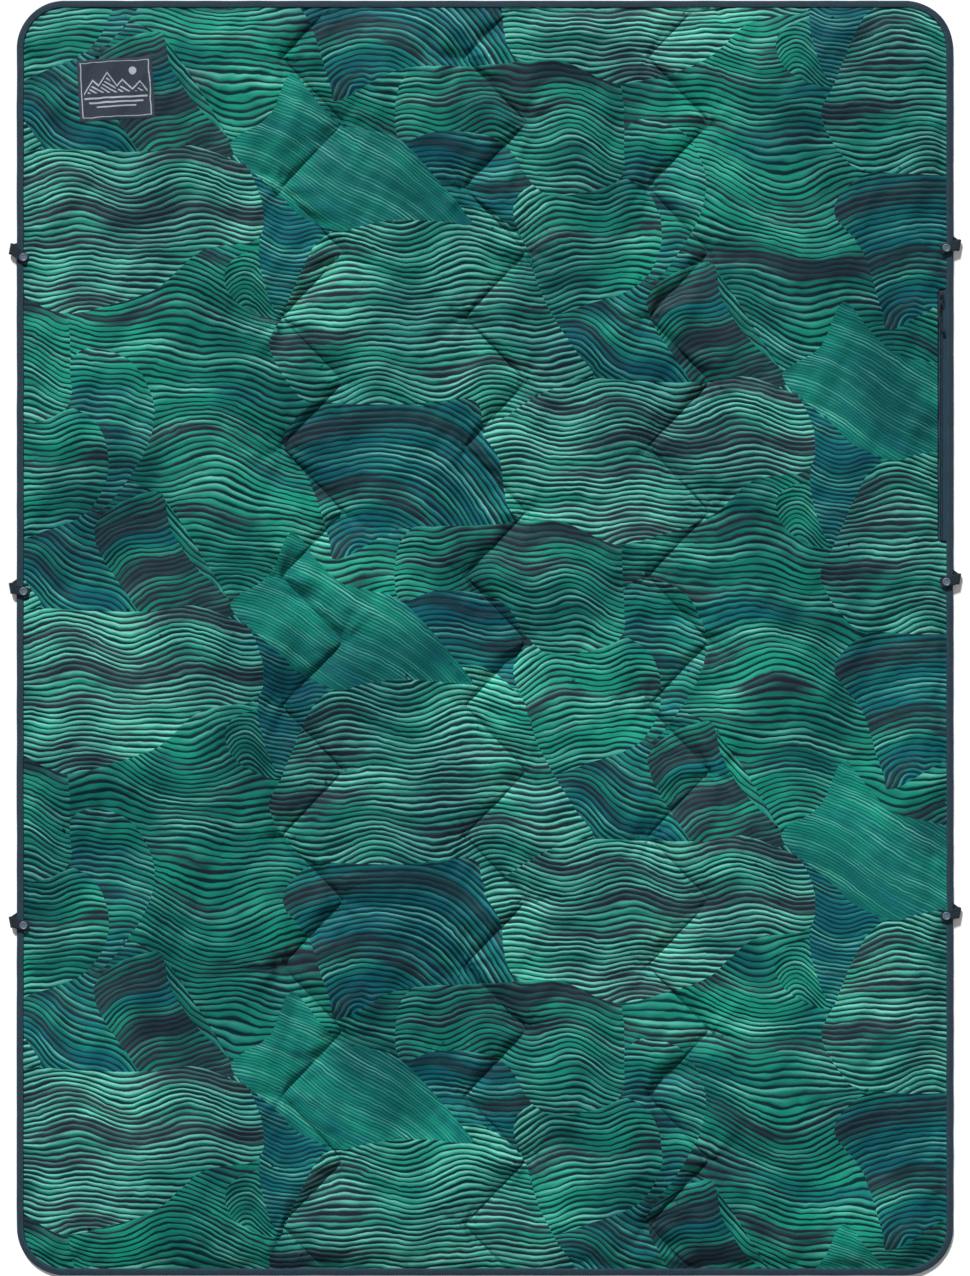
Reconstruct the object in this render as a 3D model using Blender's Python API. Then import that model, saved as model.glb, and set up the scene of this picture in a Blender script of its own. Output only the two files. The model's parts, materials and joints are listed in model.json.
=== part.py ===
"""A quilted camp blanket: a printed face and a plain backing over batting, sewn in zigzag lines,
with a bound edge, a woven label, six snap straps and a zipped stuff pocket in one long side.

Metres, +Z up. The blanket lies flat with its backing on z = 0, its length along Y and its width
along X. The origin is at the middle of its underside. The printed face looks up, the label is in
the corner at -X +Y, and the pocket's zip is in the +X side.
"""

import math

import bmesh
import bpy
from mathutils import Vector
from mathutils.geometry import delaunay_2d_cdt

CLEARANCE = 0.0003

# Blanket
WIDTH = 1.400
LENGTH = 1.905
CORNER_RADIUS = 0.072
LOFT = 0.012
CLOTH = 0.0008
CORNER_STEPS = 6

# Binding: a tape folded over the edge
BINDING_WIDTH = 0.0105
BINDING = 0.0006
BINDING_STITCH_INSET = 0.0088

# Distances in from the edge at which the layers change height
UNDER_FLAT = 0.017
FACE_FLAT = 0.024
BATTING_INSET = 0.026
FACE_FULL = 0.046

# Quilting: zigzag seams that run the length of the blanket
QUILT_COLUMNS = {"left": -1, "centre": 0, "right": 1}
QUILT_PITCH = 0.2735
QUILT_MIDDLE_X = 0.0155
QUILT_PERIOD = 0.1937
QUILT_SWING = 0.0465
QUILT_PHASE_Y = 0.866
QUILT_SPREAD = 0.034
QUILT_END_INSET = 0.0125
SEAM_BACKING = 0.0012
SEAM_BATTING = 0.0008
THREAD = 0.0005

# Woven label
LABEL_WIDTH = 0.110
LABEL_HEIGHT = 0.090
LABEL = 0.0006
LABEL_FROM_SIDE = 0.1515
LABEL_FROM_TOP = 0.1370
LABEL_TURN = math.radians(3.3)
LABEL_STITCH_INSET = 0.0030

# Snap straps
SNAP_PITCH = 0.4985
SNAP_MIDDLE_Y = 0.0765
SNAP_STAGGER = 0.0070
SNAP_INSET = 0.0115
RIBBON_WIDTH = 0.015
RIBBON = 0.0006
STRAP_HALF_ANGLE = math.radians(26)
STRAP_TILT = math.radians(10)
STRAP_REACH = 0.0115
FLAP_PAST_SNAP = 0.0090
ANCHOR_LENGTH = 0.0185
SNAP_CAP_RADIUS = 0.00625
SNAP_CAP_HEIGHT = 0.0012
SNAP_SOCKET_RADIUS = 0.0052
SNAP_SOCKET_HEIGHT = 0.0017
SNAP_KNOB_RADIUS = 0.0024
SNAP_KNOB_HEIGHT = 0.0015
SNAP_KNOB_CLEARANCE = 0.0004
SNAP_FLANGE_RADIUS = 0.0045
SNAP_FLANGE = 0.0005
SNAP_BARREL_RADIUS = 0.0014
SNAP_STEPS = 12
ARC_STEPS = 8

# Stuff pocket and its zip
POCKET_FROM_SEAM = 0.0965
POCKET_HOLLOW = 0.0046
LINING = 0.0005
POCKET_MARGIN = 0.001
POCKET_SLOPE = 0.013
SLIT_LENGTH = 0.378
SLIT_INNER_INSET = 0.025
SLIT_WIDTH = 0.012
TAPE_TUCK = 0.003
TAPE_RISE = 0.0012
COIL_WIDTH = 0.0013
COIL_HEIGHT = 0.0012
COIL_SPACING = 0.0018
SLIDER_LENGTH = 0.009
SLIDER_PLATE = 0.0009
SLIDER_WALL = 0.0008
SLIDER_END_ROOM = 0.0085
NECK_WIDTH = 0.0010
BAIL_WIDTH = 0.002
BAIL_LENGTH = 0.0044
BAIL_WALL = 0.0012
BAIL_WINDOW = 0.002
PULL = 0.0006
PULL_TAB_LENGTH = 0.010
PULL_TAB_WIDTH = 0.0054
PULL_TAB_BAR = 0.0009
PULL_TAB_SIDE = 0.0012
PULL_RIBBON_WIDTH = 0.005

# Heights that follow from the stack of layers
BINDING_UNDER = RIBBON + CLEARANCE
EDGE_BACKING = BINDING_UNDER + BINDING + CLEARANCE
EDGE_FACE = EDGE_BACKING + CLOTH + CLEARANCE
BINDING_TOP_UNDER = EDGE_FACE + CLOTH + CLEARANCE
BINDING_TOP = BINDING_TOP_UNDER + BINDING
BINDING_STITCH_Z = BINDING_TOP + CLEARANCE
SEAM_FACE = SEAM_BACKING + CLOTH + CLEARANCE + SEAM_BATTING + CLEARANCE
STUD_Z = BINDING_STITCH_Z + THREAD + CLEARANCE
SOCKET_Z = STUD_Z + SNAP_FLANGE + CLEARANCE
FLAP_Z = SOCKET_Z + SNAP_SOCKET_HEIGHT + CLEARANCE
CAP_Z = FLAP_Z + RIBBON + CLEARANCE
ARC_INNER = (FLAP_Z - RIBBON - CLEARANCE - RIBBON) / 2
ARC_OUTER = ARC_INNER + RIBBON
HINGE_Z = FLAP_Z - ARC_INNER
POCKET_FLOOR = CLOTH + CLEARANCE
POCKET_TOP = POCKET_FLOOR + LINING + POCKET_HOLLOW + LINING
POCKET_FACE = POCKET_TOP + CLEARANCE + SEAM_BATTING + CLEARANCE
SHEET_INSET = BINDING + 2 * CLEARANCE

# Places that follow from the sizes
HALF_WIDTH = WIDTH / 2
HALF_LENGTH = LENGTH / 2
SLIT_X = HALF_WIDTH - SLIT_INNER_INSET
ZIP_X = SLIT_X + SLIT_WIDTH / 2
ZIP_Y = SNAP_MIDDLE_Y + SNAP_STAGGER + SNAP_PITCH / 2
SLIT_LOW_Y = ZIP_Y - SLIT_LENGTH / 2
SLIT_HIGH_Y = ZIP_Y + SLIT_LENGTH / 2
MOUTH_X = SLIT_X - TAPE_TUCK
POCKET_BACK_X = QUILT_MIDDLE_X + QUILT_PITCH + QUILT_SWING + POCKET_FROM_SEAM

NAVY = (0.012, 0.030, 0.045)
BLACK = (0.009, 0.016, 0.022)


# Materials


def material(name, colour, roughness, metallic=0.0):
    made = bpy.data.materials.new(name)
    made.use_nodes = True
    shader = made.node_tree.nodes["Principled BSDF"]
    shader.inputs["Base Color"].default_value = (*colour, 1.0)
    shader.inputs["Roughness"].default_value = roughness
    shader.inputs["Metallic"].default_value = metallic
    made.diffuse_color = (*colour, 1.0)
    return made


def make_materials():
    return {
        "print": material("printed_taffeta", (0.018, 0.127, 0.120), 0.55),
        "batting": material("white_batting", (0.75, 0.75, 0.73), 0.95),
        "backing": material("navy_taffeta", (0.010, 0.028, 0.044), 0.55),
        "binding": material("navy_binding_tape", NAVY, 0.7),
        "thread": material("teal_thread", (0.008, 0.060, 0.060), 0.6),
        "navy_thread": material("navy_thread", NAVY, 0.6),
        "label": material("woven_label", (0.010, 0.018, 0.040), 0.75),
        "ribbon": material("black_ribbon", BLACK, 0.65),
        "snap": material("grey_snap", (0.080, 0.115, 0.155), 0.45),
        "snap_metal": material("snap_metal", (0.45, 0.46, 0.48), 0.35, 1.0),
        "lining": material("navy_lining", (0.012, 0.030, 0.048), 0.6),
        "tape": material("zip_tape", (0.012, 0.032, 0.050), 0.75),
        "coil": material("zip_coil", (0.020, 0.055, 0.080), 0.4),
        "slider": material("zip_slider", (0.020, 0.030, 0.040), 0.4, 0.6),
    }


# Shape helpers


def mix(low, high, share):
    return low + (high - low) * share


def ramp(value, low, high):
    return min(max((value - low) / (high - low), 0.0), 1.0)


def finish(bm, name, surface):
    """The bmesh as an object with its normals out."""
    bmesh.ops.recalc_face_normals(bm, faces=bm.faces)
    mesh = bpy.data.meshes.new(name)
    bm.to_mesh(mesh)
    bm.free()
    mesh.materials.append(surface)
    made = bpy.data.objects.new(name, mesh)
    bpy.context.scene.collection.objects.link(made)
    return made


def sweep(name, rings, surface, closed=False):
    """A solid skinned over rings of points: capped at both ends, or closed on itself."""
    bm = bmesh.new()
    loops = [[bm.verts.new(point) for point in ring] for ring in rings]
    for near, far in zip(loops, loops[1:] + (loops[:1] if closed else [])):
        for i in range(len(near)):
            j = (i + 1) % len(near)
            bm.faces.new((near[i], near[j], far[j], far[i]))
    if not closed:
        bm.faces.new(loops[0])
        bm.faces.new(loops[-1])
    return finish(bm, name, surface)


def box(name, low, high, surface):
    bm = bmesh.new()
    bmesh.ops.create_cube(bm, size=1.0)
    low, high = Vector(low), Vector(high)
    bmesh.ops.scale(bm, vec=high - low, verts=bm.verts)
    bmesh.ops.translate(bm, vec=(low + high) / 2, verts=bm.verts)
    return finish(bm, name, surface)


def turned(name, profile, surface):
    """Spins a closed profile of (radius, height) points about Z. It ends on the axis, or is a ring."""
    bm = bmesh.new()
    verts = [bm.verts.new((radius, 0.0, height)) for radius, height in profile]
    ring = min(radius for radius, _ in profile) > 0
    ends = zip(verts, verts[1:] + verts[:1]) if ring else zip(verts, verts[1:])
    edges = [bm.edges.new(pair) for pair in ends]
    bmesh.ops.spin(
        bm,
        geom=verts + edges,
        cent=(0, 0, 0),
        axis=(0, 0, 1),
        angle=math.tau,
        steps=SNAP_STEPS,
        use_merge=True,
        use_duplicate=False,
    )
    bmesh.ops.remove_doubles(bm, verts=bm.verts, dist=1e-7)
    return finish(bm, name, surface)


def cutter(made):
    made.hide_render = True
    made.display_type = "WIRE"
    return made


def boolean(target, other, operation="DIFFERENCE"):
    modifier = target.modifiers.new(other.name, "BOOLEAN")
    modifier.operation = operation
    modifier.object = cutter(other)


def place(made, parent):
    """Puts a piece made round its parent's own origin under that parent."""
    made.parent = parent
    return made


def empty(name, location, turn=0.0):
    made = bpy.data.objects.new(name, None)
    made.location = location
    made.rotation_euler = (0, 0, turn)
    bpy.context.scene.collection.objects.link(made)
    return made


# Plan of the blanket


def outline(inset):
    """The blanket's rounded rectangle, this far in from the edge, anticlockwise."""
    radius = CORNER_RADIUS - inset
    points = []
    for quarter, (sx, sy) in enumerate(((1, 1), (-1, 1), (-1, -1), (1, -1))):
        centre_x = sx * (HALF_WIDTH - CORNER_RADIUS)
        centre_y = sy * (HALF_LENGTH - CORNER_RADIUS)
        for step in range(CORNER_STEPS + 1):
            angle = math.pi / 2 * (quarter + step / CORNER_STEPS)
            points.append((centre_x + radius * math.cos(angle), centre_y + radius * math.sin(angle)))
    return points


def inset_of(x, y):
    """How far a point is in from the edge."""
    over_x = abs(x) - (HALF_WIDTH - CORNER_RADIUS)
    over_y = abs(y) - (HALF_LENGTH - CORNER_RADIUS)
    outside = math.hypot(max(over_x, 0), max(over_y, 0))
    return CORNER_RADIUS - outside - min(max(over_x, over_y), 0)


def column_x(column):
    return QUILT_MIDDLE_X + QUILT_COLUMNS[column] * QUILT_PITCH


def zigzag_x(column, y):
    share = ((y - QUILT_PHASE_Y) / QUILT_PERIOD) % 1.0
    return column_x(column) - QUILT_SWING * (4 * abs(share - 0.5) - 1)


def zigzag_turns():
    """The heights in Y at which a seam starts, turns and ends."""
    end = HALF_LENGTH - QUILT_END_INSET
    first = math.ceil((-end - QUILT_PHASE_Y) / (QUILT_PERIOD / 2))
    last = math.floor((end - QUILT_PHASE_Y) / (QUILT_PERIOD / 2))
    turns = [QUILT_PHASE_Y + i * QUILT_PERIOD / 2 for i in range(first, last + 1)]
    return [-end] + [y for y in turns if abs(abs(y) - end) > CLOTH] + [end]


def seam_line(column, shift):
    return [(zigzag_x(column, y) + shift, y) for y in zigzag_turns()]


def pocket_rectangle(margin):
    return [
        (POCKET_BACK_X - margin, SLIT_LOW_Y - margin),
        (SLIT_X + margin, SLIT_LOW_Y - margin),
        (SLIT_X + margin, SLIT_HIGH_Y + margin),
        (POCKET_BACK_X - margin, SLIT_HIGH_Y + margin),
    ]


def pocket_cover(x, y):
    """1 over the pocket, falling to 0 at the foot of the slope round it."""
    beyond_x = max(POCKET_BACK_X - x, 0, x - SLIT_X)
    beyond_y = max(SLIT_LOW_Y - y, 0, y - SLIT_HIGH_Y)
    return 1 - ramp(math.hypot(beyond_x, beyond_y), POCKET_MARGIN, POCKET_MARGIN + POCKET_SLOPE)


def seam_share(x, y):
    """0 on a quilting seam, 1 where the loft is full."""
    nearest = min(abs(x - zigzag_x(column, y)) for column in QUILT_COLUMNS)
    return ramp(nearest, 0, QUILT_SPREAD)


def backing_under(x, y):
    lying = mix(SEAM_BACKING, 0.0, seam_share(x, y))
    return mix(EDGE_BACKING, lying, ramp(inset_of(x, y), UNDER_FLAT, FACE_FLAT))


def face_under(x, y):
    lofted = mix(SEAM_FACE, LOFT - CLOTH, seam_share(x, y))
    free = mix(EDGE_FACE, lofted, ramp(inset_of(x, y), FACE_FLAT, FACE_FULL))
    return max(free, mix(EDGE_FACE, POCKET_FACE, pocket_cover(x, y)))


def batting_under(x, y):
    return mix(backing_under(x, y) + CLOTH + CLEARANCE, POCKET_TOP + CLEARANCE, pocket_cover(x, y))


def in_slit(x, y):
    return x > SLIT_X and SLIT_LOW_Y < y < SLIT_HIGH_Y


def plan():
    """One triangulation, shared by all the layers, with every line along which a layer bends or ends."""
    points, edges = [], []

    def line(new, closed=False):
        start = len(points)
        points.extend(Vector(p) for p in new)
        edges.extend((start + i, start + i + 1) for i in range(len(new) - 1))
        if closed:
            edges.append((len(points) - 1, start))

    for inset in (SHEET_INSET, UNDER_FLAT, FACE_FLAT, BATTING_INSET, FACE_FULL):
        line(outline(inset), closed=True)
    for column in QUILT_COLUMNS:
        for shift in (-QUILT_SPREAD, 0.0, QUILT_SPREAD):
            line(seam_line(column, shift))
    line(pocket_rectangle(POCKET_MARGIN), closed=True)
    line(pocket_rectangle(POCKET_MARGIN + POCKET_SLOPE), closed=True)
    sheet_x = HALF_WIDTH - SHEET_INSET
    line([(sheet_x, SLIT_LOW_Y), (SLIT_X, SLIT_LOW_Y), (SLIT_X, SLIT_HIGH_Y), (sheet_x, SLIT_HIGH_Y)])
    made = delaunay_2d_cdt(points, edges, [], 0, 1e-6)
    return made[0], made[2]


def layer(name, shared_plan, inside, under, over, surface):
    """The plan's triangles that lie inside, given their heights below and extruded to those above."""
    points, triangles = shared_plan
    bm = bmesh.new()
    verts = {}
    for triangle in triangles:
        middle = sum((points[i] for i in triangle), Vector((0, 0))) / 3
        if inside(middle.x, middle.y):
            for i in triangle:
                if i not in verts:
                    verts[i] = bm.verts.new((*points[i], under(*points[i])))
            bm.faces.new([verts[i] for i in triangle])
    raised = bmesh.ops.extrude_face_region(bm, geom=bm.faces[:])
    for vert in raised["geom"]:
        if isinstance(vert, bmesh.types.BMVert):
            vert.co.z = over(vert.co.x, vert.co.y)
    return finish(bm, name, surface)


# Soft layers and their sewing


def make_layers(finishes, shared_plan):
    def in_sheet(x, y):
        return inset_of(x, y) > SHEET_INSET

    backing = layer(
        "backing_fabric",
        shared_plan,
        in_sheet,
        backing_under,
        lambda x, y: backing_under(x, y) + CLOTH,
        finishes["backing"],
    )
    layer(
        "insulation_batting",
        shared_plan,
        lambda x, y: inset_of(x, y) > BATTING_INSET,
        batting_under,
        lambda x, y: face_under(x, y) - CLEARANCE,
        finishes["batting"],
    )
    face = layer(
        "face_fabric",
        shared_plan,
        lambda x, y: in_sheet(x, y) and not in_slit(x, y),
        face_under,
        lambda x, y: face_under(x, y) + CLOTH,
        finishes["print"],
    )
    return backing, face


def ring_round(name, section, surface):
    """A section of (inset, height) points carried round the blanket's outline."""
    loops = [outline(inset) for inset, _ in section]
    rings = []
    for corner in range(len(loops[0])):
        rings.append([(*loop[corner], height) for loop, (_, height) in zip(loops, section)])
    return sweep(name, rings, surface, closed=True)


def make_binding(finishes):
    fold = BINDING / 2
    section = [
        (fold, BINDING_UNDER),
        (BINDING_WIDTH, BINDING_UNDER),
        (BINDING_WIDTH, BINDING_UNDER + BINDING),
        (BINDING, BINDING_UNDER + BINDING),
        (BINDING, BINDING_TOP_UNDER),
        (BINDING_WIDTH, BINDING_TOP_UNDER),
        (BINDING_WIDTH, BINDING_TOP),
        (fold, BINDING_TOP),
        (0.0, BINDING_TOP - fold),
        (0.0, BINDING_UNDER + fold),
    ]
    binding = ring_round("edge_binding", section, finishes["binding"])
    half = THREAD / 2
    stitch = [
        (BINDING_STITCH_INSET - half, BINDING_STITCH_Z),
        (BINDING_STITCH_INSET + half, BINDING_STITCH_Z),
        (BINDING_STITCH_INSET + half, BINDING_STITCH_Z + THREAD),
        (BINDING_STITCH_INSET - half, BINDING_STITCH_Z + THREAD),
    ]
    ring_round("binding_stitching", stitch, finishes["navy_thread"])
    return binding


def make_quilting(finishes, shared_plan):
    """A needle thread on the face and a bobbin thread under the backing, for each seam."""
    points = shared_plan[0]
    for column in QUILT_COLUMNS:
        on_seam = [p for p in points if abs(p.x - zigzag_x(column, p.y)) < 1e-6]
        on_seam = [p for p in on_seam if abs(p.y) <= HALF_LENGTH - QUILT_END_INSET + 1e-6]
        on_seam.sort(key=lambda p: p.y)
        for kind, bottom_of in (
            ("needle", lambda x, y: face_under(x, y) + CLOTH + CLEARANCE),
            ("bobbin", lambda x, y: backing_under(x, y) - CLEARANCE - THREAD),
        ):
            rings = []
            for point in on_seam:
                low = bottom_of(point.x, point.y)
                left, right = point.x - THREAD / 2, point.x + THREAD / 2
                rings.append(
                    [
                        (left, point.y, low),
                        (right, point.y, low),
                        (right, point.y, low + THREAD),
                        (left, point.y, low + THREAD),
                    ]
                )
            sweep(f"quilt_{kind}_thread_{column}", rings, finishes["thread"])


def make_label(finishes):
    seat = empty(
        "label_seat",
        (-HALF_WIDTH + LABEL_FROM_SIDE, HALF_LENGTH - LABEL_FROM_TOP, LOFT + CLEARANCE),
        LABEL_TURN,
    )
    half_w, half_h = LABEL_WIDTH / 2, LABEL_HEIGHT / 2
    place(box("label_patch", (-half_w, -half_h, 0), (half_w, half_h, LABEL), finishes["label"]), seat)
    low = LABEL + CLEARANCE
    rings = []
    for sx, sy in ((1, 1), (-1, 1), (-1, -1), (1, -1)):
        ring = []
        for side, height in ((-1, low), (1, low), (1, low + THREAD), (-1, low + THREAD)):
            inset = LABEL_STITCH_INSET + side * THREAD / 2
            ring.append((sx * (half_w - inset), sy * (half_h - inset), height))
        rings.append(ring)
    place(sweep("label_stitching", rings, finishes["navy_thread"], closed=True), seat)


# Snap straps


def strap_places():
    """(name, side, snap Y, tilt) of each strap. Side is -1 at -X and 1 at +X."""
    places = []
    for side, side_name in ((-1, "left"), (1, "right")):
        for row, row_name in ((1, "top"), (0, "middle"), (-1, "bottom")):
            y = SNAP_MIDDLE_Y + row * SNAP_PITCH + side * SNAP_STAGGER
            leans_out_below = side_name == "left" and row_name == "top"
            tilt = STRAP_TILT if leans_out_below else -STRAP_TILT
            places.append((f"{side_name}_{row_name}", side, y, tilt))
    return places


def fold_length():
    return RIBBON_WIDTH / math.cos(STRAP_HALF_ANGLE)


def fold_outset():
    """How far the fold's middle lies outside the blanket's edge, so that its far corner is at STRAP_REACH."""
    corner = fold_length() / 2 * math.sin(STRAP_TILT)
    return STRAP_REACH - corner - ARC_OUTER * math.cos(STRAP_TILT)


def strap_frame(side, snap_y, tilt):
    """(fold middle, turn about Z, distance from the fold to the snap): X of that frame runs inwards."""
    flap_slope = tilt + STRAP_HALF_ANGLE
    inwards = SNAP_INSET + fold_outset()
    turn = (0.0 if side < 0 else math.pi) + side * tilt
    fold = (side * (HALF_WIDTH + fold_outset()), snap_y + inwards * math.tan(flap_slope))
    return fold, turn, inwards / math.cos(flap_slope)


def leg_ends(angle, length):
    """The two ends of a ribbon leg in plan: skewed at the fold and square at its far end."""
    along = Vector((math.cos(angle), math.sin(angle)))
    across = Vector((-along.y, along.x)) * RIBBON_WIDTH / 2
    half_fold = fold_length() / 2
    near = [Vector((0, -half_fold)), Vector((0, half_fold))]
    far = [along * length - across, along * length + across]
    return near, far


def flat_ring(ends, low, high):
    a, b = ends
    return [(*a, low), (*b, low), (*b, high), (*a, high)]


def make_flap(name, angle, snap_distance, surface):
    """The ribbon from under the hinge, round the fold and back over the edge to past the snap."""
    half_fold = fold_length() / 2
    rings = []
    for step in range(ARC_STEPS + 1):
        turn = math.pi * (step / ARC_STEPS - 0.5)
        ring = []
        for radius, y in (
            (ARC_INNER, -half_fold),
            (ARC_INNER, half_fold),
            (ARC_OUTER, half_fold),
            (ARC_OUTER, -half_fold),
        ):
            ring.append((-radius * math.cos(turn), y, radius * math.sin(turn)))
        rings.append(ring)
    far = leg_ends(angle, snap_distance + FLAP_PAST_SNAP)[1]
    rings.append(flat_ring(far, ARC_INNER, ARC_OUTER))
    return sweep(name, rings, surface)


def make_anchor(name, angle, surface):
    """The ribbon's other leg, which runs from under the fold to its sewing below the binding."""
    near, far = leg_ends(angle, ANCHOR_LENGTH)
    outer = [end - Vector((ARC_OUTER / 2, 0)) for end in near]
    rings = [flat_ring(ends, -HINGE_Z, RIBBON - HINGE_Z) for ends in (outer, near, far)]
    return sweep(name, rings, surface)


def cap_profile():
    barrel = SOCKET_Z + SNAP_SOCKET_HEIGHT - CLEARANCE - CAP_Z
    radius, height = SNAP_CAP_RADIUS, SNAP_CAP_HEIGHT
    return [
        (0, barrel),
        (SNAP_BARREL_RADIUS, barrel),
        (SNAP_BARREL_RADIUS, 0),
        (radius * 0.94, 0),
        (radius, height * 0.25),
        (radius * 0.92, height * 0.75),
        (radius * 0.70, height),
        (0, height),
    ]


def socket_profile():
    inner = SNAP_KNOB_RADIUS + SNAP_KNOB_CLEARANCE
    web = SNAP_SOCKET_HEIGHT - CLEARANCE
    return [
        (inner, 0),
        (SNAP_SOCKET_RADIUS, 0),
        (SNAP_SOCKET_RADIUS, SNAP_SOCKET_HEIGHT),
        (SNAP_BARREL_RADIUS + CLEARANCE, SNAP_SOCKET_HEIGHT),
        (SNAP_BARREL_RADIUS + CLEARANCE, web),
        (inner, web),
    ]


def stud_profile():
    bore = SNAP_BARREL_RADIUS + CLEARANCE
    knob_top = SNAP_FLANGE + SNAP_KNOB_HEIGHT
    return [
        (bore, 0),
        (SNAP_FLANGE_RADIUS, 0),
        (SNAP_FLANGE_RADIUS, SNAP_FLANGE),
        (SNAP_KNOB_RADIUS * 0.9, SNAP_FLANGE),
        (SNAP_KNOB_RADIUS, knob_top * 0.7),
        (SNAP_KNOB_RADIUS * 0.8, knob_top),
        (bore, knob_top),
    ]


def post_profile():
    return [
        (0, 0),
        (SNAP_FLANGE_RADIUS, 0),
        (SNAP_FLANGE_RADIUS, SNAP_FLANGE),
        (SNAP_BARREL_RADIUS, SNAP_FLANGE),
        (SNAP_BARREL_RADIUS, STUD_Z + SNAP_FLANGE),
        (0, STUD_Z + SNAP_FLANGE),
    ]


def make_strap(finishes, name, side, snap_y, tilt, sheets):
    fold, turn, snap_distance = strap_frame(side, snap_y, tilt)
    hinge = empty(f"strap_hinge_{name}", (*fold, HINGE_Z), turn)
    flap_angle = side * STRAP_HALF_ANGLE
    snap_at = Vector((math.cos(flap_angle), math.sin(flap_angle))) * snap_distance

    flap = place(make_flap(f"strap_flap_{name}", flap_angle, snap_distance, finishes["ribbon"]), hinge)
    place(make_anchor(f"strap_anchor_{name}", -flap_angle, finishes["ribbon"]), hinge)

    def on_hinge(made, z):
        made.location = (*snap_at, z - HINGE_Z)
        return place(made, hinge)

    on_hinge(turned(f"snap_cap_{name}", cap_profile(), finishes["snap"]), CAP_Z)
    on_hinge(turned(f"snap_socket_{name}", socket_profile(), finishes["snap_metal"]), SOCKET_Z)
    hole = SNAP_BARREL_RADIUS + 2 * CLEARANCE
    flap_hole = turned(f"flap_hole_{name}", [(0, 0), (hole, 0), (hole, LOFT), (0, LOFT)], finishes["ribbon"])
    boolean(flap, on_hinge(flap_hole, SOCKET_Z))

    snap_x = side * (HALF_WIDTH - SNAP_INSET)
    stud = turned(f"snap_stud_{name}", stud_profile(), finishes["snap_metal"])
    stud.location = (snap_x, snap_y, STUD_Z)
    post = turned(f"snap_post_{name}", post_profile(), finishes["snap"])
    post.location = (snap_x, snap_y, 0)
    profile = [(0, 0), (hole, 0), (hole, LOFT), (0, LOFT)]
    sheet_hole = turned(f"sheet_hole_{name}", profile, finishes["ribbon"])
    sheet_hole.location = (snap_x, snap_y, -CLOTH)
    for sheet in sheets:
        boolean(sheet, sheet_hole)


# Stuff pocket and zip


def make_pocket(finishes):
    """Two lining panels, joined on three sides by their seam. The fourth side is the mouth at the slit."""
    low = Vector((POCKET_BACK_X, SLIT_LOW_Y, POCKET_FLOOR))
    high = Vector((MOUTH_X, SLIT_HIGH_Y, POCKET_TOP))
    box("pocket_panel_lower", low, (high.x, high.y, low.z + LINING), finishes["lining"])
    box("pocket_panel_upper", (low.x, low.y, high.z - LINING), high, finishes["lining"])
    inside = Vector((0, 0, LINING + CLEARANCE))
    seam = box("pocket_seam", low + inside, high - inside, finishes["lining"])
    wall = Vector((LINING, LINING, 0))
    hollow_high = high - wall + Vector((SLIT_WIDTH, 0, 0))
    boolean(seam, box("pocket_hollow", low + wall, hollow_high, finishes["lining"]))


def along_zip(name, section, surface):
    """A section of (x, z) points extruded along the slit, clear of its ends."""
    ends = (SLIT_LOW_Y + CLEARANCE, SLIT_HIGH_Y - CLEARANCE)
    return sweep(name, [[(x, y, z) for x, z in section] for y in ends], surface)


def tape_z():
    """The tape's height in the slit: above the slider's lower plate, which clears the backing."""
    return EDGE_BACKING + CLOTH + CLEARANCE + SLIDER_PLATE + CLEARANCE


def make_zip(finishes):
    low, half_gap = tape_z(), COIL_SPACING / 2
    binding_x = HALF_WIDTH - BINDING_WIDTH - 2 * CLEARANCE
    slope_x = binding_x - 2 * TAPE_RISE
    tuck_z = POCKET_TOP - LINING
    lower = [
        (ZIP_X + half_gap, low),
        (slope_x, low),
        (binding_x, EDGE_FACE),
        (HALF_WIDTH - SHEET_INSET, EDGE_FACE),
    ]
    upper = [(x, z + LINING) for x, z in reversed(lower)]
    along_zip("zip_tape_outer", lower + upper, finishes["tape"])
    lower = [
        (MOUTH_X + CLEARANCE, tuck_z),
        (SLIT_X, tuck_z),
        (ZIP_X - SLIT_WIDTH / 2 + 2 * TAPE_RISE, low),
        (ZIP_X - half_gap, low),
    ]
    upper = [(x, z + LINING) for x, z in reversed(lower)]
    along_zip("zip_tape_inner", lower + upper, finishes["tape"])

    coil_low = low + LINING + CLEARANCE
    for name, side in (("inner", -1), ("outer", 1)):
        near, far = ZIP_X + side * COIL_SPACING / 2, ZIP_X + side * (COIL_SPACING / 2 + COIL_WIDTH)
        section = [(near, coil_low), (far, coil_low), (far, coil_low + COIL_HEIGHT * 0.7)]
        section += [((near + far) / 2, coil_low + COIL_HEIGHT), (near, coil_low + COIL_HEIGHT * 0.7)]
        along_zip(f"zip_coil_{name}", section, finishes["coil"])
    make_slider(finishes, coil_low)


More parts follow.
